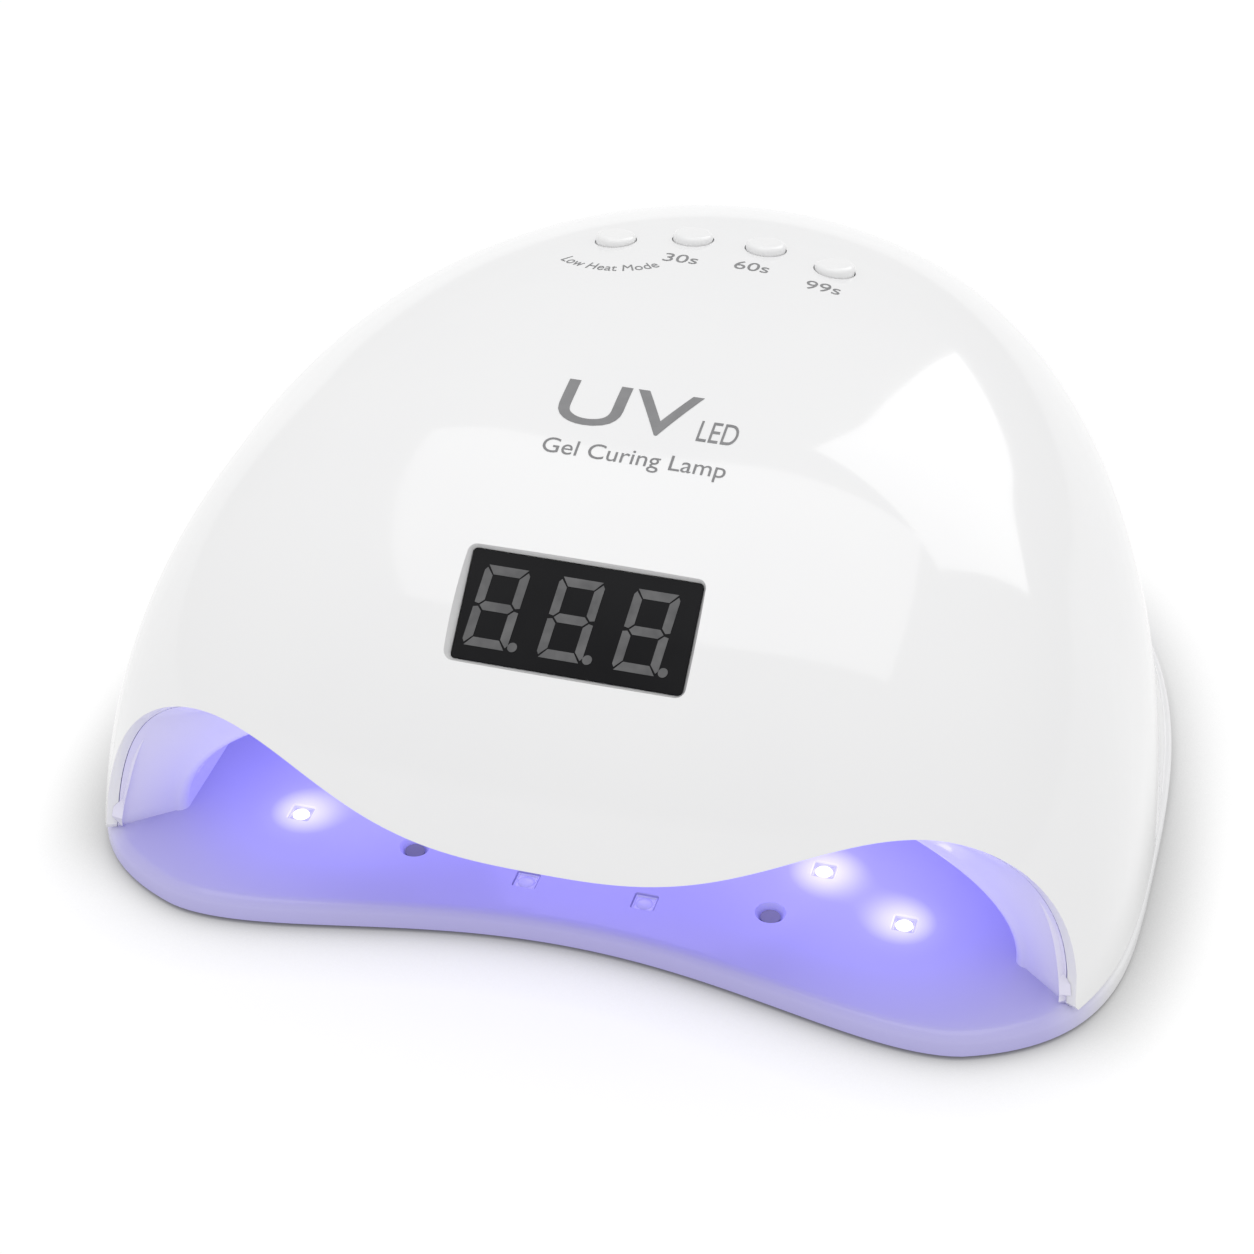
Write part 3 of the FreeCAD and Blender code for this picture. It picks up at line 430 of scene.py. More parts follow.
class Finish(Enum):
    """Every finish on the lamp."""

    SHELL = Moulding("shell_white", (0.815, 0.815, 0.818), (0.805, 0.805, 0.81), 0.1, 0.03, 0.3)
    KEY = Moulding("key_white", (0.83, 0.83, 0.83), (0.81, 0.81, 0.815), 0.2, 0.05, 0.2)
    # Floor plate: its violet colour and emission are painted violet light and painted glow from the beads, pale where
    # that light doesn't reach.
    FLOOR = PaintedLightPlastic(
        "base_violet_white", (0.42, 0.395, 0.6), (0.43, 0.405, 0.6), (0.42, 0.4, 0.62), (0.0, -40.0, 6.8),
        (1.6, 1.0, 1.0), (25.0, 80.0), LIT_BEADS, glow=0.2, rim_glow=0.12, pale_side=100.0,
    )
    # Lining: its lilac colour and emission are painted violet light and painted glow, deepest at the chamber's heart.
    LINER = PaintedLightPlastic(
        "liner_lilac", (0.5, 0.48, 0.7), (0.64, 0.62, 0.76), (0.77, 0.755, 0.8), (0.0, -30.0, 20.0),
        (1.9, 1.0, 1.2), (34.0, 92.0), glow=0.8, rim_glow=0.03, roughness=0.12,
    )
    COVER = Moulding("cover_plastic", (0.8, 0.8, 0.81), (0.76, 0.76, 0.77), 0.5, 0.12, depth=0.00002)
    DISPLAY = Moulding("display_black", (0.004, 0.004, 0.005), (0.009, 0.009, 0.01), 0.16, 0.05, gloss=0.14)
    SEGMENT = Moulding("segment_grey", (0.14, 0.14, 0.142), (0.095, 0.095, 0.098), 0.45, 0.1, gloss=0.2, flow=260.0)
    PRINT = Moulding("print_grey", (0.215, 0.215, 0.22), (0.185, 0.185, 0.19), 0.5, 0.1, flow=200.0)
    BEAD_LIT = Lens("bead_lit", (0.98, 0.97, 1.0), 1.6)
    BEAD_WELL = Lens("bead_well", (0.55, 0.53, 0.86), 0.5)
    BEAD_DIM = Lens("bead_dim", (0.6, 0.57, 0.86), 0.12)
    SENSOR = Moulding("sensor_dark", (0.32, 0.3, 0.36), (0.2, 0.19, 0.24), 0.12, 0.06)
    BOARD = Moulding("circuit_green", (0.03, 0.2, 0.09), (0.02, 0.13, 0.06), 0.35, 0.12, flow=160.0)
    LED_BOARD = Moulding("led_board_white", (0.8, 0.8, 0.78), (0.72, 0.72, 0.7), 0.35, 0.1, flow=120.0)
    CHIP = Moulding("chip_black", (0.025, 0.025, 0.027), (0.04, 0.04, 0.042), 0.55, 0.15, flow=300.0)
    INLET = Moulding("inlet_black", (0.03, 0.03, 0.032), (0.045, 0.045, 0.048), 0.42, 0.12, flow=200.0)
    CHOKE = Moulding("choke_copper", (0.42, 0.17, 0.06), (0.3, 0.11, 0.04), 0.3, 0.1, flow=400.0)
    RUBBER = Moulding("foot_rubber", (0.32, 0.32, 0.33), (0.26, 0.26, 0.27), 0.75, 0.15, depth=0.00003)
    LEAD_RED = Moulding("lead_red", (0.5, 0.03, 0.02), (0.4, 0.02, 0.02), 0.4, 0.1, flow=200.0)
    LEAD_BLACK = Moulding("lead_black", (0.02, 0.02, 0.02), (0.035, 0.035, 0.035), 0.4, 0.1, flow=200.0)
    LEAD_WHITE = Moulding("lead_white", (0.8, 0.8, 0.8), (0.7, 0.7, 0.7), 0.4, 0.1, flow=200.0)
    STEEL = Metal("screw_steel", (0.62, 0.62, 0.64), (0.45, 0.45, 0.47), 0.32)
    NICKEL = Metal("nut_nickel", (0.75, 0.73, 0.7), (0.6, 0.58, 0.55), 0.2)
    BRASS = Metal("standoff_brass", (0.78, 0.58, 0.28), (0.6, 0.42, 0.18), 0.28)
    ALUMINIUM = Metal("spreader_aluminium", (0.8, 0.81, 0.82), (0.66, 0.67, 0.68), 0.35)
    CAN = Metal("can_dark", (0.26, 0.28, 0.36), (0.18, 0.2, 0.27), 0.3)
    STAGE = TableTop("table_white", 0.22, 0.78, 0.018)

    @property
    def material(self) -> bpy.types.Material:
        """The finish's material, built the first time that it is asked for."""
        return bpy.data.materials.get(f"{self.value.name}_finish") or self.value.make()


# ------------------------------------------------------------------ mesh helpers
def loft(bm: bmesh.types.BMesh, rings: Sequence[Ring], closed: bool = True) -> list[list[bmesh.types.BMVert]]:
    """Lays a circle of edges on the first ring and extrudes it from ring to ring.

    Args:
        bm: the mesh that takes the skin.
        rings: rings of points, all of one length.
        closed: whether each ring is closed; an open ring is an arc.

    Returns:
        The vertices of every ring, in the rings' order.
    """
    made = bmesh.ops.create_circle(bm, segments=len(rings[0]), radius=1.0)["verts"]
    if not closed:
        bmesh.ops.delete(bm, geom=[bm.edges.get((made[-1], made[0]))], context="EDGES")
        made = list(made)
    for vertex, point in zip(made, rings[0]):
        vertex.co = point
    laid = [list(made)]
    count = len(made)
    for ring in rings[1:]:
        last = laid[-1]
        pairs = zip(last, last[1:] + last[:1]) if closed else zip(last, last[1:])
        edges = [bm.edges.get(pair) for pair in pairs]
        grown = bmesh.ops.extrude_edge_only(bm, edges=edges)["geom"]
        fresh = {g for g in grown if isinstance(g, bmesh.types.BMVert)}
        row = []
        for i in range(count):
            edge = next(e for e in last[i].link_edges if e.other_vert(last[i]) in fresh)
            vertex = edge.other_vert(last[i])
            vertex.co = ring[i]
            row.append(vertex)
        laid.append(row)
    return laid


def cap(bm: bmesh.types.BMesh, ring: Sequence[bmesh.types.BMVert]) -> None:
    """Closes a ring with one face."""
    bmesh.ops.contextual_create(bm, geom=list(ring))


def outwards(bm: bmesh.types.BMesh) -> None:
    """Turns every face of a closed mesh outwards."""
    bmesh.ops.recalc_face_normals(bm, faces=bm.faces)


def lathe(profile: Sequence[tuple[float, float]], middle: Vector, steps: int, near: float) -> bmesh.types.BMesh:
    """Turns a profile round an upright axis.

    Args:
        profile: pairs of radius and height in millimetres, which start and end on the axis.
        middle: where the axis stands, in metres.
        steps: how many sides the shape has.
        near: distance in metres under which vertices are one.

    Returns:
        The closed mesh.
    """
    bm = bmesh.new()
    ends = [bm.verts.new(middle + Vector((x, 0, z)) * MM) for x, z in profile]
    sides = [bm.edges.new(pair) for pair in zip(ends, ends[1:])]
    bmesh.ops.spin(
        bm, geom=ends + sides, cent=middle, axis=(0, 0, 1), angle=2 * math.pi, steps=steps, use_merge=True
    )
    bmesh.ops.remove_doubles(bm, verts=bm.verts, dist=near)
    outwards(bm)
    return bm


def spaced(track: Sequence[Vector], count: int, closed: bool) -> list[tuple[int, float]]:
    """Places spaced evenly along a fine track.

    Args:
        track: the track's points; a closed track ends where it starts.
        count: how many places are wanted.
        closed: whether the track is closed, so that its end isn't a place of its own.

    Returns:
        For each place, the point before it and its share of the way to the next.
    """
    lengths = [0.0]
    for before, after in zip(track, track[1:]):
        lengths.append(lengths[-1] + (after - before).length)
    spots, step = [], 0
    for i in range(count):
        goal = lengths[-1] * i / (count if closed else count - 1)
        while step < len(track) - 2 and lengths[step + 1] < goal:
            step += 1
        share = (goal - lengths[step]) / max(lengths[step + 1] - lengths[step], 1e-9)
        spots.append((step, min(share, 1.0)))
    return spots


def piece(name: str, bm: bmesh.types.BMesh, *finishes: Finish) -> bpy.types.Object:
    """Makes an object of a finished mesh.

    Args:
        name: the object's name.
        bm: its mesh, which is freed.
        finishes: its finishes, in the order of its faces' material indices.

    Returns:
        The object.
    """
    mesh = bpy.data.meshes.new(name)
    bm.to_mesh(mesh)
    bm.free()
    body = bpy.data.objects.new(name, mesh)
    bpy.context.scene.collection.objects.link(body)
    for finish in finishes:
        mesh.materials.append(finish.material)
    return body


def bake(body: bpy.types.Object) -> None:
    """Replaces a piece's mesh by what its modifiers make of it."""
    graph = bpy.context.evaluated_depsgraph_get()
    mesh = bpy.data.meshes.new_from_object(body.evaluated_get(graph))
    body.modifiers.clear()
    body.data = mesh


def settle(body: bpy.types.Object, sharp: float = 32.0) -> None:
    """Applies a piece's modifiers and shades it smooth, with edges kept sharp past an angle.

    Args:
        body: the piece.
        sharp: the angle in degrees.
    """
    if body.modifiers:
        bake(body)
    body.data.shade_smooth()
    body.data.set_sharp_from_angle(angle=math.radians(sharp))


def carve(body: bpy.types.Object, cutters: Sequence[bpy.types.Object]) -> None:
    """Cuts closed shapes out of a piece.

    Args:
        body: the piece.
        cutters: the shapes, which are removed afterwards.
    """
    for cutter in cutters:
        cut = body.modifiers.new(cutter.name, "BOOLEAN")
        cut.object = cutter
        cut.operation = "DIFFERENCE"
        cut.solver = "EXACT"
    bake(body)
    for cutter in cutters:
        bpy.data.objects.remove(cutter)


def fit(body: bpy.types.Object, rides: str, slot: str, *nodes: str) -> None:
    """Puts a piece on its body, in the place of its nodes.

    Args:
        body: the piece.
        rides: the frame's body that it moves with.
        slot: the name of a material slot; not used.
        nodes: the nodes that it stands for.
    """
    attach(body, rides)
    if nodes:
        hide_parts(*nodes)
    LOG.info("%s: %d faces on %s", body.name, len(body.data.polygons), rides)


def ease(share: float) -> float:
    """Smooth step from 0 to 1."""
    share = min(max(share, 0.0), 1.0)
    return share * share * (3 - 2 * share)


def rod(name: str, radius: float, start: Vector, end: Vector) -> bpy.types.Object:
    """Round cutting bar between two points, in metres.

    Args:
        name: the bar's name.
        radius: its radius.
        start: one end.
        end: the other end.

    Returns:
        The bar's object.
    """
    bm = bmesh.new()
    along = end - start
    turn = along.to_track_quat("Z", "Y").to_matrix().to_4x4()
    place = Matrix.Translation((start + end) / 2) @ turn
    bmesh.ops.create_cone(
        bm, cap_ends=True, segments=64, radius1=radius, radius2=radius, depth=along.length, matrix=place
    )
    return piece(name, bm)


# ------------------------------------------------------------------ the dome's form
@dataclass(frozen=True)
class DomeForm:
    """Outer form of the housing, as the frame's solids have it."""

    floor: float = 6.8
    half_width: float = 117.2
    front: float = 80.0
    back: float = 148.0
    low_y: float = -40.6
    top_y: float = -20.8
    tall: float = 99.0
    side_powers: tuple[float, float] = (1.69, 3.52)
    front_powers: tuple[float, float] = (3.18, 2.05)
    back_powers: tuple[float, float] = (3.15, 2.73)
    plan_powers: tuple[float, float] = (2.66, 1.95)
    base_half: float = 118.0
    base_y: float = -28.3
    base_front: float = 80.0
    base_back: float = 138.0
    base_powers: tuple[float, float] = (4.0, 2.5)
    skirt_inset: float = 1.95
    skirt_lean: float = 0.47
    skirt_tall: float = 38.0
    skirt_close: float = 14.0
    skirt_blend: float = 1.2
    lip_centre: float = 34.7
    lip_peak: float = 47.2
    lip_peak_share: float = 0.615
    lip_foot_share: float = 0.926

    @staticmethod
    def power_radius(angle: float, across: float, along: float, power: float) -> float:
        """Polar radius of a superellipse with half axes across and along."""
        c, s = abs(math.cos(angle)), abs(math.sin(angle))
        return ((c / across) ** power + (s / along) ** power) ** (-1 / power)

    def centre_y(self, level: float) -> float:
        """Where the plan at a level is centred."""
        return self.low_y + (self.top_y - self.low_y) * level

    def skirt_radius(self, angle: float, centre: float, inset: float) -> float:
        """Distance from a centre on the middle line to the base's outline, inset from it."""
        low, high = 0.0, 3 * self.base_half
        for _ in range(26):
            middle = (low + high) / 2
            x = abs(middle * math.cos(angle))
            y = centre + middle * math.sin(angle) - self.base_y
            reach, power = (self.base_front, self.base_powers[0]) if y < 0 else (self.base_back, self.base_powers[1])
            inside = (x / (self.base_half - inset)) ** power + (abs(y) / (reach - inset)) ** power < 1
            low, high = (middle, high) if inside else (low, middle)
        return low

    def radius(self, angle: float, level: float) -> float:
        """Polar radius of the dome's plan at a level from 0, the floor, to 1, the crown.

        Args:
            angle: direction from the plan's centre.
            level: share of the dome's height.

        Returns:
            The radius.
        """
        c, s = math.cos(angle), math.sin(angle)
        back = (1 + s * (3 - s * s) / 2) / 2
        front = 1 - back
        plan = self.plan_powers[0] * front + self.plan_powers[1] * back
        reach = self.front * front + self.back * back
        sides, fronts, backs = self.side_powers, self.front_powers, self.back_powers
        rise = sides[0] * c * c + s * s * (fronts[0] * front + backs[0] * back)
        full = sides[1] * c * c + s * s * (fronts[1] * front + backs[1] * back)
        around = self.power_radius(angle, self.half_width, reach, plan) * (1 - level**rise) ** (1 / full)
        at_side, at_front, at_back = [(1 - level ** p[0]) ** (1 / p[1]) for p in (sides, fronts, backs)]
        depth = reach * (at_front * front + at_back * back)
        ahead = self.power_radius(angle, self.half_width * at_side, depth, plan)
        share = ease(2 * back)
        radius = around * share + ahead * (1 - share)
        height = level * self.tall
        lean = self.skirt_inset + height * self.skirt_lean + self.skirt_close * (height / self.skirt_tall) ** 4
        if lean > self.base_half / 2:
            return radius
        skirt = self.skirt_radius(angle, self.centre_y(level), lean)
        most = max(radius, skirt)
        blend = self.skirt_blend
        return most + blend * math.log(math.exp((radius - most) / blend) + math.exp((skirt - most) / blend))

    def point(self, angle: float, level: float) -> Vector:
        """Point of the outer surface, in millimetres."""
        level = min(level, 0.99995)
        radius = self.radius(angle, level)
        y = self.centre_y(level) + radius * math.sin(angle)
        return Vector((radius * math.cos(angle), y, self.floor + level * self.tall))

    def height_at(self, x: float, y: float) -> float:
        """Height of the outer surface over a plan point."""
        low, high = 0.0, 1.0
        for _ in range(30):
            level = (low + high) / 2
            ahead = y - self.centre_y(level)
            inside = math.hypot(x, ahead) < self.radius(math.atan2(ahead, x), min(level, 0.99995))
            low, high = (level, high) if inside else (low, level)
        return self.floor + low * self.tall

    def lip_height(self, x: float) -> float:
        """Height of the hand opening's lip over the floor, at a distance from the middle."""
        x = abs(x)
        peak = self.lip_peak_share * self.half_width
        foot = self.lip_foot_share * self.half_width
        if x <= peak:
            share = (1 - math.cos(math.pi * (x / peak) ** 1.5)) / 2
            return self.lip_centre + (self.lip_peak - self.lip_centre) * share
        share = min((x - peak) / (foot - peak), 1.0)
        return self.lip_peak * math.sqrt(1 - share**2)


FORM = DomeForm()
KEY_TILT = math.radians(11)
DISPLAY_TILT = math.radians(42)
KEY_AXIS = Vector((0, math.sin(KEY_TILT), math.cos(KEY_TILT)))
DISPLAY_AXIS = Vector((0, -math.sin(DISPLAY_TILT), math.cos(DISPLAY_TILT)))


@dataclass(frozen=True)
class Places:
    """Where the keys and the display stand on the dome."""

    key_pitch: float = 17.2
    key_y: float = 41.6
    key_bow: float = 4.6
    display_y: float = -84.3
    display_wide: float = 48.6
    display_tall: float = 23.2
    display_recess: float = 1.6

    def key_spots(self) -> list[Vector]:
        """Points of the dome on the keys' axes, from left to right, in millimetres."""
        spots = []
        for i in range(4):
            x = (i - 1.5) * self.key_pitch
            y = self.key_y - (self.key_bow if i in (0, 3) else 0.0)
            spots.append(Vector((x, y, FORM.height_at(x, y))))
        return spots

    def display_origin(self) -> Vector:
        """Middle of the display's face, in millimetres."""
        half = self.display_wide / 2
        rise = self.display_tall / 2 * math.cos(DISPLAY_TILT)
        middle = Vector((0, self.display_y, FORM.height_at(half, self.display_y)))
        corners = [Vector((half, y, FORM.height_at(half, y))) for y in (self.display_y - rise, self.display_y + rise)]
        depth = min((corner - middle).dot(DISPLAY_AXIS) for corner in corners)
        return middle + DISPLAY_AXIS * (depth - self.display_recess)


PLACES = Places()


def display_matrix() -> Matrix:
    """Turn and place of the display's face, in metres."""
    return Matrix.Translation(PLACES.display_origin() * MM) @ Matrix.Rotation(DISPLAY_TILT, 4, "X")


# ------------------------------------------------------------------ the housing
@dataclass
class Shell:
    """Glossy dome: one skin with a rolled lip, a brow over the opening, and cut-outs for what it carries."""

    columns: int = 330
    band_rows: int = 8
    rows: int = 66
    wall: float = 2.4
    boss_wall: float = 8.5
    rim_round: float = 1.0
    brow_line: float = 54.4
    brow_rise: float = 2.0
    bead: float = 2.3
    flare: float = 0.22
    key_hole: float = 4.85
    window_gap: float = 0.2
    window_steps: tuple[tuple[float, float], ...] = (
        (-14.0, 0.0), (0.25, 0.0), (1.2, 0.42), (3.0, 1.15), (6.0, 2.3), (16.0, 6.0)
    )
    boss_reach: tuple[float, float] = (34.0, 46.0)
    inlet_recess: tuple[float, float] = (7.5, 1.2)
    inlet_bore: float = 4.02

    def lip_level(self, angle: float) -> float:
        """Level at which the lip crosses the dome in a direction: 0 where it has no opening.

        Args:
            angle: direction from the dome's centre.

        Returns:
            The level, as a share of the dome's height.
        """
        foot = FORM.lip_foot_share * FORM.half_width
        ground = FORM.point(angle, 0.0)
        if ground.y > FORM.low_y or abs(ground.x) >= foot:
            return 0.0
        low, high = 0.0, 0.62
        for _ in range(18):
            level = (low + high) / 2
            spot = FORM.point(angle, level)
            below = spot.z < FORM.floor + FORM.lip_height(spot.x)
            low, high = (level, high) if below else (low, level)
        return low

    def edge(self) -> list[tuple[float, float]]:
        """Angle and level of every column's lower end, evenly spaced along the skin's edge."""
        steps = 1300
        marks = []
        for i in range(steps):
            angle = math.pi / 2 + 2 * math.pi * i / steps
            marks.append((angle, self.lip_level(angle)))
        track = [FORM.point(*mark) for mark in marks]
        marks.append((marks[0][0] + 2 * math.pi, marks[0][1]))
        track.append(track[0])
        ends = []
        for step, share in spaced(track, self.columns, closed=True):
            (angle, level), (angle_on, level_on) = marks[step], marks[step + 1]
            ends.append((angle + (angle_on - angle) * share, level + (level_on - level) * share))
        return ends

    def brow_height(self, x: float) -> float:
        """Height of the crease over the lip, at a distance from the middle."""
        lip = FORM.floor + FORM.lip_height(x)
        if abs(x) > FORM.lip_peak_share * FORM.half_width:
            return lip + self.bead
        return max(self.brow_line + self.brow_rise * ease((abs(x) - 40) / 35), lip + self.bead)

    def skin_point(self, angle: float, level: float, lipped: bool) -> Vector:
        """Point of the skin, swept forward between the crease and the lip.

        Args:
            angle: direction from the dome's centre.
            level: share of the dome's height.
            lipped: whether this direction crosses the hand opening.

        Returns:
            The point, in metres.
        """
        spot = FORM.point(angle, level)
        if lipped:
            lip = FORM.floor + FORM.lip_height(spot.x)
            crease = self.brow_height(spot.x)
            tall = crease - lip
            if spot.z < crease and tall > self.bead:
                down = min((crease - spot.z) / tall, 1.0)
                out = self.flare * (tall - self.bead) * down
                spot += Vector((math.cos(angle) * 0.4, math.sin(angle), 0)).normalized() * out
        return spot * MM

    def skin(self) -> bmesh.types.BMesh:
        """Open skin of the dome, from its edge to its crown.

        Returns:
            The mesh.
        """
        ends = self.edge()
        rings = []
        total = self.band_rows + self.rows
        for row in range(total):
            ring = []
            for angle, low in ends:
                lipped = low > 0
                knee = low + 0.03
                if lipped:
                    crease = (self.brow_height(FORM.point(angle, low).x) - FORM.floor) / FORM.tall
                    knee = min(max(crease, low + 0.012), low + 0.2)
                if row <= self.band_rows:
                    level = low + (knee - low) * row / self.band_rows
                else:
                    share = (row - self.band_rows) / (self.rows - 1 + 0.35)
                    level = knee + (1 - knee) * (1 - (1 - share) ** 2.35)
                ring.append(self.skin_point(angle, level, lipped))
            rings.append(ring)
        bm = bmesh.new()
        laid = loft(bm, rings)
        crown = Vector((0, FORM.top_y, FORM.floor + FORM.tall)) * MM
        grown = bmesh.ops.extrude_edge_only(
            bm, edges=[bm.edges.get(p) for p in zip(laid[-1], laid[-1][1:] + laid[-1][:1])]
        )["geom"]
        tip = [g for g in grown if isinstance(g, bmesh.types.BMVert)]
        bmesh.ops.pointmerge(bm, verts=tip, merge_co=crown)
        outwards(bm)
        return bm

    def window_cutter(self) -> bpy.types.Object:
        """Shape of the display's window: a close seat that flares outwards from the display's face.

        Returns:
            The cutting shape.
        """
        half_x = PLACES.display_wide / 2 + self.window_gap
        half_y = PLACES.display_tall / 2 + self.window_gap
        place = display_matrix()
        rings = []
        for height, grow in self.window_steps:
            radius = 1.3 + grow
            ring = []
            for corner, (sx, sy) in enumerate(((1, 1), (-1, 1), (-1, -1), (1, -1))):
                middle = Vector((sx * (half_x + grow - radius), sy * (half_y + grow - radius), height))
                for step in range(7):
                    turn = math.pi / 2 * (corner + step / 6)
                    ring.append(place @ ((middle + Vector((math.cos(turn), math.sin(turn), 0)) * radius) * MM))
            rings.append(ring)
        bm = bmesh.new()
        laid = loft(bm, rings)
        cap(bm, laid[0])
        cap(bm, laid[-1])
        outwards(bm)
        return piece("window_cutter", bm)

    def build(self) -> bpy.types.Object:
        """Builds the shell.

        Returns:
            The finished piece.
        """
        body = piece("housing_shell", self.skin(), Finish.SHELL)
        origin = PLACES.display_origin() * MM
        boss = body.vertex_groups.new(name="boss")
        inner, outer = self.boss_reach
        for vertex in body.data.vertices:
            near = 1 - ease(((vertex.co - origin).length / MM - inner) / (outer - inner))
            if near > 0:
                boss.add([vertex.index], near, "REPLACE")
        thick = body.modifiers.new("wall", "SOLIDIFY")
        thick.thickness = self.boss_wall * MM
        thick.offset = -1.0
        thick.vertex_group = boss.name
        thick.thickness_vertex_group = self.wall / self.boss_wall
        soft = body.modifiers.new("rim", "BEVEL")
        soft.width = self.rim_round * MM
        soft.segments = 4
        soft.limit_method = "ANGLE"
        soft.angle_limit = math.radians(55)
        settle(body)
        cutters = [self.window_cutter()]
        for i, spot in enumerate(PLACES.key_spots()):
            start, end = (spot - KEY_AXIS * 12) * MM, (spot + KEY_AXIS * 12) * MM
            cutters.append(rod(f"key_cutter_{i}", self.key_hole * MM, start, end))
        low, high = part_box("power_inlet")
        radius, depth = self.inlet_recess
        flat = high.y - depth * MM
        for name, wide, near, far in (
            ("inlet_recess", radius, flat, flat + 0.02), ("inlet_bore", self.inlet_bore, 0.08, 0.13)
        ):
            start, end = [Vector((0, y, (low.z + high.z) / 2)) for y in (near, far)]
            cutters.append(rod(name, wide * MM, start, end))
        carve(body, cutters)
        settle(body)
        fit(body, "housing", "shell_white", "outer_shell")
        return body


# ------------------------------------------------------------------ the chamber's lining
@dataclass
class Lining:
    """Glossy lining: a funnel from the lip's seam to an arch, a tunnel, and a rounded back wall."""

    arch_half: float = 94.0
    arch_height: float = 43.0
    front_y: float = -77.3
    back_y: float = 58.7
    seam_gap: float = 2.55
    edge_round: float = 2.4
    back_round: float = 22.0
    funnel_bow: float = 1.2
    wall: float = 1.6
    points: int = 150

    def seam(self, shell: Shell) -> tuple[Ring, Ring]:
        """Arc just inside the shell's lip, from the left foot to the right foot.

        Args:
            shell: the shell that the lining meets.

        Returns:
            The seam's points, and points a little further up behind the shell, in millimetres.
        """
        seam, behind = [], []
        steps = 460
        for i in range(steps + 1):
            angle = math.pi + math.pi * i / steps
            level = shell.lip_level(angle)
            ground = FORM.point(angle, 0.0)
            if level <= 0 and abs(ground.x) > FORM.lip_foot_share * FORM.half_width + 0.6:
                continue
            spot = shell.skin_point(angle, level, True)
            around = shell.skin_point(angle + 0.01, level, True) - shell.skin_point(angle - 0.01, level, True)
            rise = shell.skin_point(angle, level + 0.03, True) - spot
            out = around.cross(rise).normalized()
            inner = (spot / MM) - out * self.seam_gap
            inner.z = max(inner.z, FORM.floor)
            seam.append(inner)
            tuck = ease((inner.z - FORM.floor + 1) / 4)
            behind.append(inner + (rise.normalized() * 2.2 - out * 0.9) * tuck)
        return self.even(seam), self.even(behind)

    def even(self, fine: Sequence[Vector]) -> Ring:
        """Points spaced evenly along a fine arc."""
        return [fine[step].lerp(fine[step + 1], share) for step, share in spaced(fine, self.points, closed=False)]

    def arch(self, grow: float, y: float) -> Ring:
        """Half ellipse over the floor, grown outwards, at a depth.

        Args:
            grow: how far it stands outside the tunnel's arch.
            y: its depth.

        Returns:
            The arc's points in millimetres, from the left foot to the right foot.
        """
        fine = []
        for i in range(601):
            turn = math.pi * (1 - i / 600)
            across, up = self.arch_half + grow, self.arch_height + grow
            fine.append(Vector((across * math.cos(turn), y, FORM.floor + up * math.sin(turn))))
        return self.even(fine)

    def build(self, shell: Shell) -> bpy.types.Object:
        """Builds the lining.

        Args:
            shell: the shell that it meets at the lip.

        Returns:
            The finished piece.
        """
        seam, lip_roll = self.seam(shell)
        edge = self.arch(self.edge_round, self.front_y)
        rings = [lip_roll, seam]
        for share in (0.12, 0.25, 0.38, 0.5, 0.62, 0.74, 0.86):
            bow = self.funnel_bow * math.sin(math.pi * share)
            rings.append([
                a.lerp(b, share) + Vector((0, 0, bow * min(1.0, (a.z - FORM.floor) / 20))) for a, b in zip(seam, edge)
            ])
        for step in range(7):
            turn = math.pi / 2 * step / 6
            grow = self.edge_round * (1 - math.sin(turn))
            y = self.front_y + self.edge_round * (1 - math.cos(turn))
            rings.append(self.arch(grow, y))
        for share in (0.04, 0.15, 0.3, 0.5, 0.7, 0.85, 1.0):
            start, end = self.front_y + self.edge_round, self.back_y - self.back_round
            rings.append(self.arch(0.0, start + (end - start) * share))
        for step in range(1, 9):
            turn = math.pi / 2 * step / 8
            shrink = -self.back_round * (1 - math.cos(turn))
            rings.append(self.arch(shrink, self.back_y - self.back_round * (1 - math.sin(turn))))
        low = FORM.floor
        for share in (0.7, 0.4, 0.15):
            rings.append([Vector((p.x * share, p.y, low + (p.z - low) * share)) for p in rings[-1]])
        sunk = [[Vector((p.x, p.y, p.z - 0.4 if p.z - low < 0.05 else p.z)) * MM for p in ring] for ring in rings]
        bm = bmesh.new()
        loft(bm, sunk, closed=False)
        bmesh.ops.remove_doubles(bm, verts=bm.verts, dist=0.00002)
        for face in bm.faces:
            face.normal_update()
        probe = max(bm.faces, key=lambda f: -abs(f.calc_center_median().x) + f.calc_center_median().z)
        if probe.normal.z > 0:
            bmesh.ops.reverse_faces(bm, faces=bm.faces)
        body = piece("chamber_lining", bm, Finish.LINER)
        thick = body.modifiers.new("wall", "SOLIDIFY")
        thick.thickness = self.wall * MM
        thick.offset = -1.0
        settle(body, 40.0)
        # The lilac in liner_lilac is painted violet light.
        fit(body, "housing", "liner_lilac", "chamber_liner")
        return body


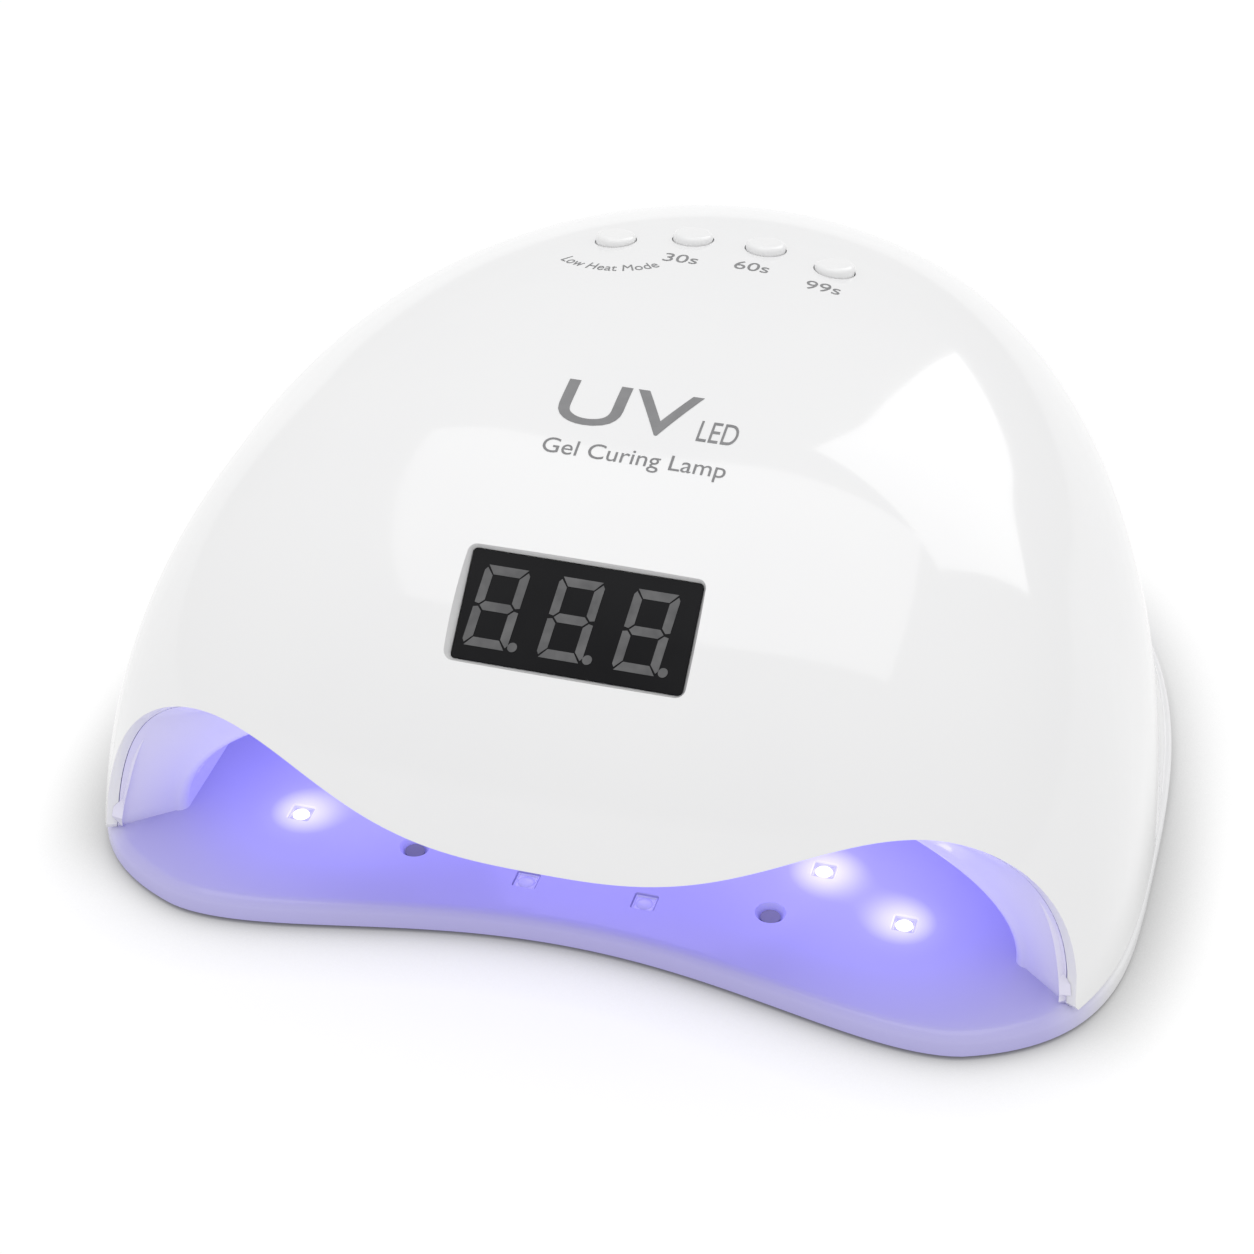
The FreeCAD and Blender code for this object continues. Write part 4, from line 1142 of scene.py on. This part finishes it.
# ------------------------------------------------------------------ the floor
@dataclass
class FloorPlate:
    """Floor of the chamber, with two lobes and a bay in front, and windows for its beads and sensors."""

    inset: float = 2.4
    edge_round: float = 2.6
    foot_gap: float = 0.8
    notch_half: float = 88.0
    notch_depth: float = 17.3
    columns: int = 320
    bead_window: float = 5.4
    bead_spots: tuple[tuple[float, float], ...] = ((69.0, -70.3), (48.5, -57.7), (13.4, -78.7))
    sensor_spot: tuple[float, float] = (40.5, -74.7)
    sensor_bore: float = 2.3

    def notch(self, x: float) -> float:
        """Depth of the front bay at a distance from the middle, in millimetres."""
        share = abs(x) / self.notch_half
        return 0.0 if share >= 1 else self.notch_depth * (1 - share**2) ** 1.5

    def outline(self, inset: float, z: float) -> Ring:
        """Outline of the plate, inset from its edge, at a height.

        Args:
            inset: how far it lies inside the edge.
            z: its height.

        Returns:
            The outline's points in metres, evenly spaced.
        """
        fine = []
        for i in range(1601):
            angle = math.pi / 2 + 2 * math.pi * i / 1600
            radius = FORM.skirt_radius(angle, FORM.low_y, inset)
            x, y = radius * math.cos(angle), FORM.low_y + radius * math.sin(angle)
            if y < FORM.low_y:
                y += self.notch(x)
            fine.append(Vector((x, y, z)))
        return [fine[step].lerp(fine[step + 1], share) * MM for step, share in spaced(fine, self.columns, closed=True)]

    def cutters(self) -> list[bpy.types.Object]:
        """Square windows for the beads and flared bores for the sensors."""
        made = []
        for index, (x, y) in enumerate(self.bead_spots):
            for side, sign in SIDES:
                bm = bmesh.new()
                place = Matrix.Translation(Vector((sign * x, y, FORM.floor)) * MM)
                half = self.bead_window * MM
                bmesh.ops.create_cube(bm, size=half, matrix=place @ Matrix.Diagonal((1, 1, 3, 1)))
                uprights = [e for e in bm.edges if abs((e.verts[0].co - e.verts[1].co).z) > half]
                bmesh.ops.bevel(
                    bm, geom=uprights, offset=0.7 * MM, offset_type="OFFSET", segments=4, profile=0.5,
                    affect="EDGES", material=-1,
                )
                made.append(piece(f"bead_cutter_{index}_{side}", bm))
        bore = self.sensor_bore
        profile = [(0.0, -9.0), (bore, -9.0), (bore, -2.0), (3.4, 0.0), (4.4, 0.35), (4.4, 3.0), (0.0, 3.0)]
        for side, sign in SIDES:
            middle = Vector((sign * self.sensor_spot[0], self.sensor_spot[1], FORM.floor)) * MM
            made.append(piece(f"sensor_cutter_{side}", lathe(profile, middle, 48, 0.00001)))
        return made

    def build(self) -> bpy.types.Object:
        """Builds the floor plate.

        Returns:
            The finished piece.
        """
        top, bottom = FORM.floor, self.foot_gap
        steps = [(7.0, bottom + 3.4), (3.2, bottom + 3.4), (3.2, bottom), (0.4, bottom), (0.0, bottom + 0.4)]
        for k in range(7):
            turn = math.pi / 2 * (1 - k / 6)
            steps.append((self.edge_round * (1 - math.sin(turn)), top - self.edge_round * (1 - math.cos(turn))))
        steps.append((self.edge_round + 2.0, top))
        rings = [self.outline(inset, z) for inset, z in steps]
        bm = bmesh.new()
        laid = loft(bm, rings)
        cap(bm, laid[0])
        cap(bm, laid[-1])
        outwards(bm)
        body = piece("chamber_floor", bm, Finish.FLOOR)
        carve(body, self.cutters())
        settle(body, 35.0)
        # The violet in base_violet_white is painted violet light.
        fit(body, "housing", "base_violet_white", "base_plate")
        return body


# ------------------------------------------------------------------ beads
@dataclass
class Bead:
    """Square light bead with a round lens, set in a window of the floor."""

    side: float = 5.0
    lens: float = 2.0
    tall: float = 2.4

    def build(self, name: str, x: float, y: float, lit: bool) -> bpy.types.Object:
        """Builds one bead.

        Args:
            name: its name.
            x: its place across.
            y: its place in depth.
            lit: whether it is lit.

        Returns:
            The finished piece.
        """
        bm = bmesh.new()
        place = Matrix.Translation(Vector((x, y, FORM.floor - 1.5)) * MM)
        bmesh.ops.create_cube(bm, size=self.side * MM, matrix=place @ Matrix.Diagonal((1, 1, self.tall / self.side, 1)))
        bmesh.ops.bevel(
            bm, geom=list(bm.edges), offset=0.3 * MM, offset_type="OFFSET", segments=3, profile=0.5,
            affect="EDGES", material=-1,
        )
        top = max(bm.faces, key=lambda f: f.calc_center_median().z)
        bmesh.ops.inset_individual(bm, faces=[top], thickness=0.35 * MM, depth=-0.35 * MM)
        dome = bmesh.ops.create_uvsphere(
            bm, u_segments=32, v_segments=16, radius=self.lens * MM,
            matrix=Matrix.Translation(Vector((x, y, FORM.floor - 0.95)) * MM) @ Matrix.Diagonal((1, 1, 0.5, 1)),
        )["verts"]
        for face in {f for v in dome for f in v.link_faces}:
            face.material_index = 1
        outwards(bm)
        finishes = (Finish.BEAD_WELL, Finish.BEAD_LIT) if lit else (Finish.BEAD_DIM, Finish.BEAD_DIM)
        body = piece(name, bm, *finishes)
        settle(body, 40.0)
        fit(body, "housing", "bead_lens", "floor_beads")
        return body


# ------------------------------------------------------------------ keys
@dataclass
class Key:
    """Round press key with a soft edge and a slightly hollow top."""

    radius: float = 4.6
    rise: float = 1.7
    skirt: float = 5.0
    round_edge: float = 1.15
    dish: float = 0.12

    def build(self, name: str, spot: Vector, rides: str, *nodes: str) -> bpy.types.Object:
        """Builds one key.

        Args:
            name: its name.
            spot: point of the dome on its axis, in millimetres.
            rides: the body that it moves with.
            nodes: the nodes that it stands for.

        Returns:
            The finished piece.
        """
        r, top, turn = self.radius, self.rise, self.round_edge
        foot = -self.skirt
        profile = [(0.0, foot + 0.2), (r - 1.0, foot), (r - 0.9, foot), (r, foot + 0.3), (r, top - turn - 1.0)]
        for k in range(8):
            a = math.pi / 2 * k / 7
            profile.append((r - turn * (1 - math.cos(a)), top - turn * (1 - math.sin(a))))
        profile += [(r * 0.6, top - self.dish * 0.55), (r * 0.3, top - self.dish * 0.9), (0.0, top - self.dish)]
        bm = lathe(profile, Vector(), 56, 0.000002)
        place = Matrix.Translation(spot * MM) @ Matrix.Rotation(-KEY_TILT, 4, "X")
        bmesh.ops.transform(bm, matrix=place, verts=bm.verts)
        outwards(bm)
        body = piece(name, bm, Finish.KEY)
        settle(body, 40.0)
        fit(body, rides, "key_white", *nodes)
        return body


# ------------------------------------------------------------------ display and printing
@dataclass
class Digits:
    """Three leaning seven-bar digits with round dots, printed just over the display's face."""

    wide: float = 9.6
    tall: float = 17.2
    bar: float = 1.9
    gap: float = 0.26
    pitch: float = 15.8
    shift: float = 1.2
    lean: float = math.radians(6)
    dot: float = 1.0
    raised: float = 0.06
    thick: float = 0.08

    def bars(self) -> list[list[tuple[float, float]]]:
        """Outlines of the seven bars of one digit, about its middle."""
        w, h, b, g = self.wide / 2, self.tall / 2, self.bar, self.gap
        top = [(-w + g * 2.2, h), (w - g * 2.2, h), (w - b - g * 0.6, h - b), (-w + b + g * 0.6, h - b)]
        m, q = b / 2, g / math.sqrt(2)
        middle = [(-w + m + g, 0), (-w + b + g, m), (w - b - g, m), (w - m - g, 0), (w - b - g, -m), (-w + b + g, -m)]
        upper = [(-w + b, q + m + g * 0.5), (-w + b, h - b - g), (-w + 0.45, h - 0.55)]
        upper += [(-w, h - 1.2), (-w, q + 0.3), (-w + m, q + 0.1)]
        made = [top, middle, upper]
        made.append([(-x, y) for x, y in reversed(upper)])
        made += [[(x, -y) for x, y in reversed(shape)] for shape in (top, upper, made[3])]
        return made

    def build(self) -> bpy.types.Object:
        """Builds the three digits.

        Returns:
            The finished piece.
        """
        bm = bmesh.new()
        slant = math.tan(self.lean)
        point = []
        for k in range(20):
            turn = math.pi * 2 * k / 20
            x = self.wide / 2 + 1.0 + self.dot * math.cos(turn)
            point.append((x, -self.tall / 2 + self.dot * (1 + math.sin(turn))))
        for centre in (-self.pitch - self.shift, -self.shift, self.pitch - self.shift):
            for shape in self.bars() + [point]:
                ring = [Vector((centre + x + y * slant, y, self.raised)) * MM for x, y in shape]
                flat = bmesh.ops.create_circle(bm, cap_ends=True, segments=len(ring), radius=1.0)["verts"]
                for vertex, spot in zip(flat, ring):
                    vertex.co = spot
                faces = list({f for v in flat for f in v.link_faces})
                bmesh.ops.recalc_face_normals(bm, faces=faces)
                grown = bmesh.ops.extrude_face_region(bm, geom=faces)["geom"]
                lifted = [g for g in grown if isinstance(g, bmesh.types.BMVert)]
                bmesh.ops.translate(bm, verts=lifted, vec=(0, 0, self.thick * MM))
        outwards(bm)
        bmesh.ops.transform(bm, matrix=display_matrix(), verts=bm.verts)
        body = piece("display_digits", bm, Finish.SEGMENT)
        settle(body)
        fit(body, "housing", "segment_grey", "display_segments")
        return body


@dataclass(frozen=True)
class Label:
    """One line of lettering, placed in plan in millimetres: on a straight line, or on an arc under a key."""

    name: str
    words: str
    x: float
    y: float
    width: float
    height: float
    offset: float = 0.0
    arc: float = 0.0


@dataclass
class Printing:
    """Plain lettering laid on the dome, a hair proud of its skin."""

    proud: float = 0.06
    longest: float = 1.3
    capital: float = 0.69

    def lay(self, name: str, outline: bpy.types.Object, tree: BVHTree) -> bpy.types.Object:
        """Turns a flat text into a mesh on the dome, along the dome's own slope.

        Args:
            name: the piece's name.
            outline: the text object in plan, in metres.
            tree: search tree of the shell.

        Returns:
            The finished piece.
        """
        graph = bpy.context.evaluated_depsgraph_get()
        graph.update()
        mesh = bpy.data.meshes.new_from_object(outline.evaluated_get(graph))
        place = outline.matrix_world.copy()
        bpy.data.objects.remove(outline)
        bm = bmesh.new()
        bm.from_mesh(mesh)
        bpy.data.meshes.remove(mesh)
        bmesh.ops.transform(bm, matrix=place, verts=bm.verts)
        bmesh.ops.triangulate(bm, faces=bm.faces)
        for _ in range(3):
            long = [e for e in bm.edges if e.calc_length() > self.longest * MM]
            if long:
                bmesh.ops.subdivide_edges(bm, edges=long, cuts=1)
                bmesh.ops.triangulate(bm, faces=bm.faces)
        for vertex in bm.verts:
            hit, normal, _, _ = tree.ray_cast(Vector((vertex.co.x, vertex.co.y, 0.3)), Vector((0, 0, -1)))
            vertex.co = hit + normal * self.proud * MM
        bmesh.ops.remove_doubles(bm, verts=bm.verts, dist=0.000005)
        for face in bm.faces:
            face.normal_update()
        down = [f for f in bm.faces if f.normal.z < 0]
        bmesh.ops.reverse_faces(bm, faces=down)
        body = piece(name, bm, Finish.PRINT)
        body.data.shade_smooth()
        fit(body, "housing", "shell_white")
        return body

    def write(self, label: Label, tree: BVHTree) -> bpy.types.Object:
        """Writes one label on the dome.

        Args:
            label: its words, place and size.
            tree: search tree of the shell.

        Returns:
            The finished piece.
        """
        curve = bpy.data.curves.new(label.name, "FONT")
        curve.body = label.words
        curve.resolution_u = 6
        curve.offset = label.offset
        text = bpy.data.objects.new(label.name, curve)
        bpy.context.scene.collection.objects.link(text)
        bpy.context.view_layer.update()
        low, high = min(c[0] for c in text.bound_box), max(c[0] for c in text.bound_box)
        sx, sy = label.width * MM / (high - low), label.height * MM / self.capital
        if not label.arc:
            place = Matrix.Translation((label.x * MM, label.y * MM, 0))
            text.matrix_world = place @ Matrix.Diagonal((sx, sy, 1, 1)) @ Matrix.Translation((-low, 0, 0))
            bpy.context.view_layer.update()
            return self.lay(label.name, text, tree)
        graph = bpy.context.evaluated_depsgraph_get()
        mesh = bpy.data.meshes.new_from_object(text.evaluated_get(graph))
        bpy.data.objects.remove(text)
        middle = (low + high) / 2
        for vertex in mesh.vertices:
            turn = (vertex.co.x - middle) * sx / (label.arc * MM)
            reach = label.arc * MM - vertex.co.y * sy
            across, along = reach * math.sin(turn), -reach * math.cos(turn)
            vertex.co = Vector((label.x * MM + across, label.y * MM + along, 0))
        flat = bpy.data.objects.new(label.name, mesh)
        bpy.context.scene.collection.objects.link(flat)
        bpy.context.view_layer.update()
        return self.lay(label.name, flat, tree)

    def build(self, shell: bpy.types.Object) -> list[bpy.types.Object]:
        """Prints everything that is written on the housing.

        Args:
            shell: the shell that carries it.

        Returns:
            The finished pieces.
        """
        tree = BVHTree.FromObject(shell, bpy.context.evaluated_depsgraph_get())
        first = PLACES.key_spots()[0]
        labels = (
            Label("print_kind", "UV", -16.7, -43.5, 29.5, 13.5, offset=0.004),
            Label("print_light", "LED", 14.2, -43.5, 8.4, 6.2),
            Label("print_use", "Gel Curing Lamp", -16.6, -52.3, 39.2, 3.9),
            Label("print_30s", "30s", -12.2, 27.2, 8.0, 4.4),
            Label("print_60s", "60s", 4.2, 28.0, 8.0, 4.4),
            Label("print_99s", "99s", 21.6, 24.0, 8.0, 4.4),
            Label("print_low_heat", "Low Heat Mode", first.x + 2.4, first.y - 1.0, 26.0, 3.2, arc=17.0),
        )
        return [self.write(label, tree) for label in labels]


# ------------------------------------------------------------------ the frame's own pieces
@dataclass
class CarriedPieces:
    """Finishes of the frame's own pieces, by their names' words."""

    rules: list[tuple[str, Finish]] = field(default_factory=lambda: [
        ("lead_red", Finish.LEAD_RED), ("lead_black", Finish.LEAD_BLACK), ("leads", Finish.LEAD_WHITE),
        ("led_board", Finish.LED_BOARD), ("beads", Finish.BEAD_DIM), ("foot_", Finish.RUBBER),
        ("plunger_", Finish.CHIP), ("switch_", Finish.STEEL), ("screws", Finish.STEEL),
        ("standoffs", Finish.BRASS), ("capacitors", Finish.CAN), ("choke", Finish.CHOKE),
        ("chip", Finish.CHIP), ("regulator", Finish.CHIP), ("beeper", Finish.CHIP), ("infrared", Finish.SENSOR),
        ("spreader", Finish.ALUMINIUM), ("nut", Finish.NICKEL), ("inlet", Finish.INLET),
        ("display_module", Finish.DISPLAY), ("cover", Finish.COVER), ("board", Finish.BOARD),
    ])

    def dress(self) -> None:
        """Gives each of the frame's nodes the finish of its kind."""
        for name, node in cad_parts.items():
            finish = next((f for words, f in self.rules if words in name), Finish.COVER)
            if not node.material_slots:
                node.data.materials.append(None)
            for place in node.material_slots:
                place.link = "OBJECT"
                place.material = finish.material
            LOG.info("%s keeps its shape, in %s", name, finish.value.name)


# ------------------------------------------------------------------ studio
@dataclass(frozen=True)
class Lamp:
    """One area light, in metres and watts."""

    name: str
    at: tuple[float, float, float]
    to: tuple[float, float, float]
    size: tuple[float, float]
    power: float
    colour: Colour = (1.0, 1.0, 1.0)
    shine_only: bool = False

    def hang(self) -> None:
        """Adds the light to the scene, unseen by the camera."""
        data = bpy.data.lights.new(self.name, "AREA")
        data.energy = self.power
        data.color = self.colour
        data.shape = "RECTANGLE"
        data.size, data.size_y = self.size
        lamp = bpy.data.objects.new(self.name, data)
        lamp.location = self.at
        lamp.visible_camera = False
        lamp.visible_diffuse = not self.shine_only
        lamp.rotation_euler = (Vector(self.to) - Vector(self.at)).to_track_quat("-Z", "Y").to_euler()
        bpy.context.scene.collection.objects.link(lamp)


@dataclass
class Studio:
    """Pale table, soft lights and the camera."""

    lens: float = 86.59
    spot: tuple[float, float, float] = (143.7, -554.8, 439.0)
    turn: float = math.radians(15.745)
    tilt: float = math.radians(36.0)
    world: float = 0.86
    middle: tuple[float, float, float] = (0.0, -0.02, 0.06)
    shine_sides: tuple[float, ...] = (0.84, 0.76, 0.68, 0.6)
    shine_turn: float = math.radians(148)
    shine_far: tuple[float, float] = (0.88, 0.748)

    def table(self) -> None:
        """Lays the table."""
        bm = bmesh.new()
        bmesh.ops.create_grid(bm, x_segments=1, y_segments=1, size=4.0)
        table = piece("table_top", bm, Finish.STAGE)

    def lamps(self) -> list[Lamp]:
        """The lights: a soft reflection at the side in four steps, an overhead light and the violet glow."""
        far, up = self.shine_far
        at = (far * math.sin(self.shine_turn), -far * math.cos(self.shine_turn), up)
        made = [
            Lamp(f"softbox_{index}", at, self.middle, (side, side), 4.2 * side * side, shine_only=True)
            for index, side in enumerate(self.shine_sides)
        ]
        made.append(Lamp("overhead", (0.0, -0.1, 1.6), self.middle, (1.6, 1.6), 7.2))
        glow = (0.0, -0.03, 0.046)
        made.append(Lamp("violet_glow", glow, (0.0, -0.035, 0.0), (0.1, 0.05), 0.022, (0.45, 0.38, 1.0)))
        return made

    def build(self) -> None:
        """Sets the room, the lights and the camera."""
        scene = bpy.context.scene
        world = bpy.data.worlds.new("room")
        world.use_nodes = True
        sky = world.node_tree.nodes["Background"].inputs
        sky["Color"].default_value = (1.0, 1.0, 1.0, 1.0)
        sky["Strength"].default_value = self.world
        scene.world = world
        scene.view_settings.view_transform = "Standard"
        self.table()
        for lamp in self.lamps():
            lamp.hang()
        data = bpy.data.cameras.new("camera")
        data.lens = self.lens
        data.sensor_width = 36.0
        data.clip_start, data.clip_end = 0.01, 50.0
        camera = bpy.data.objects.new("camera", data)
        level = math.cos(self.tilt)
        ahead = Vector((-math.sin(self.turn) * level, math.cos(self.turn) * level, -math.sin(self.tilt)))
        camera.location = Vector(self.spot) * MM
        camera.rotation_euler = ahead.to_track_quat("-Z", "Y").to_euler()
        scene.collection.objects.link(camera)
        scene.camera = camera


def main() -> None:
    """Builds the lamp's pieces in order."""
    logging.basicConfig(level=logging.INFO, format="%(name)s: %(message)s")
    CarriedPieces().dress()
    shell = Shell()
    housing = shell.build()
    Lining().build(shell)
    plate = FloorPlate()
    plate.build()
    bead = Bead()
    for index, (x, y) in enumerate(plate.bead_spots):
        for side, sign in SIDES:
            bead.build(f"floor_bead_{side}_{index + 1}", sign * x, y, index < 2)
    key = Key()
    for kind, spot in zip(("low_heat", "30s", "60s", "99s"), PLACES.key_spots()):
        key.build(f"cap_{kind}", spot, f"key_{kind}_group", f"key_{kind}")
    Digits().build()
    Printing().build(housing)
    Studio().build()


if __name__ == "__main__":
    main()
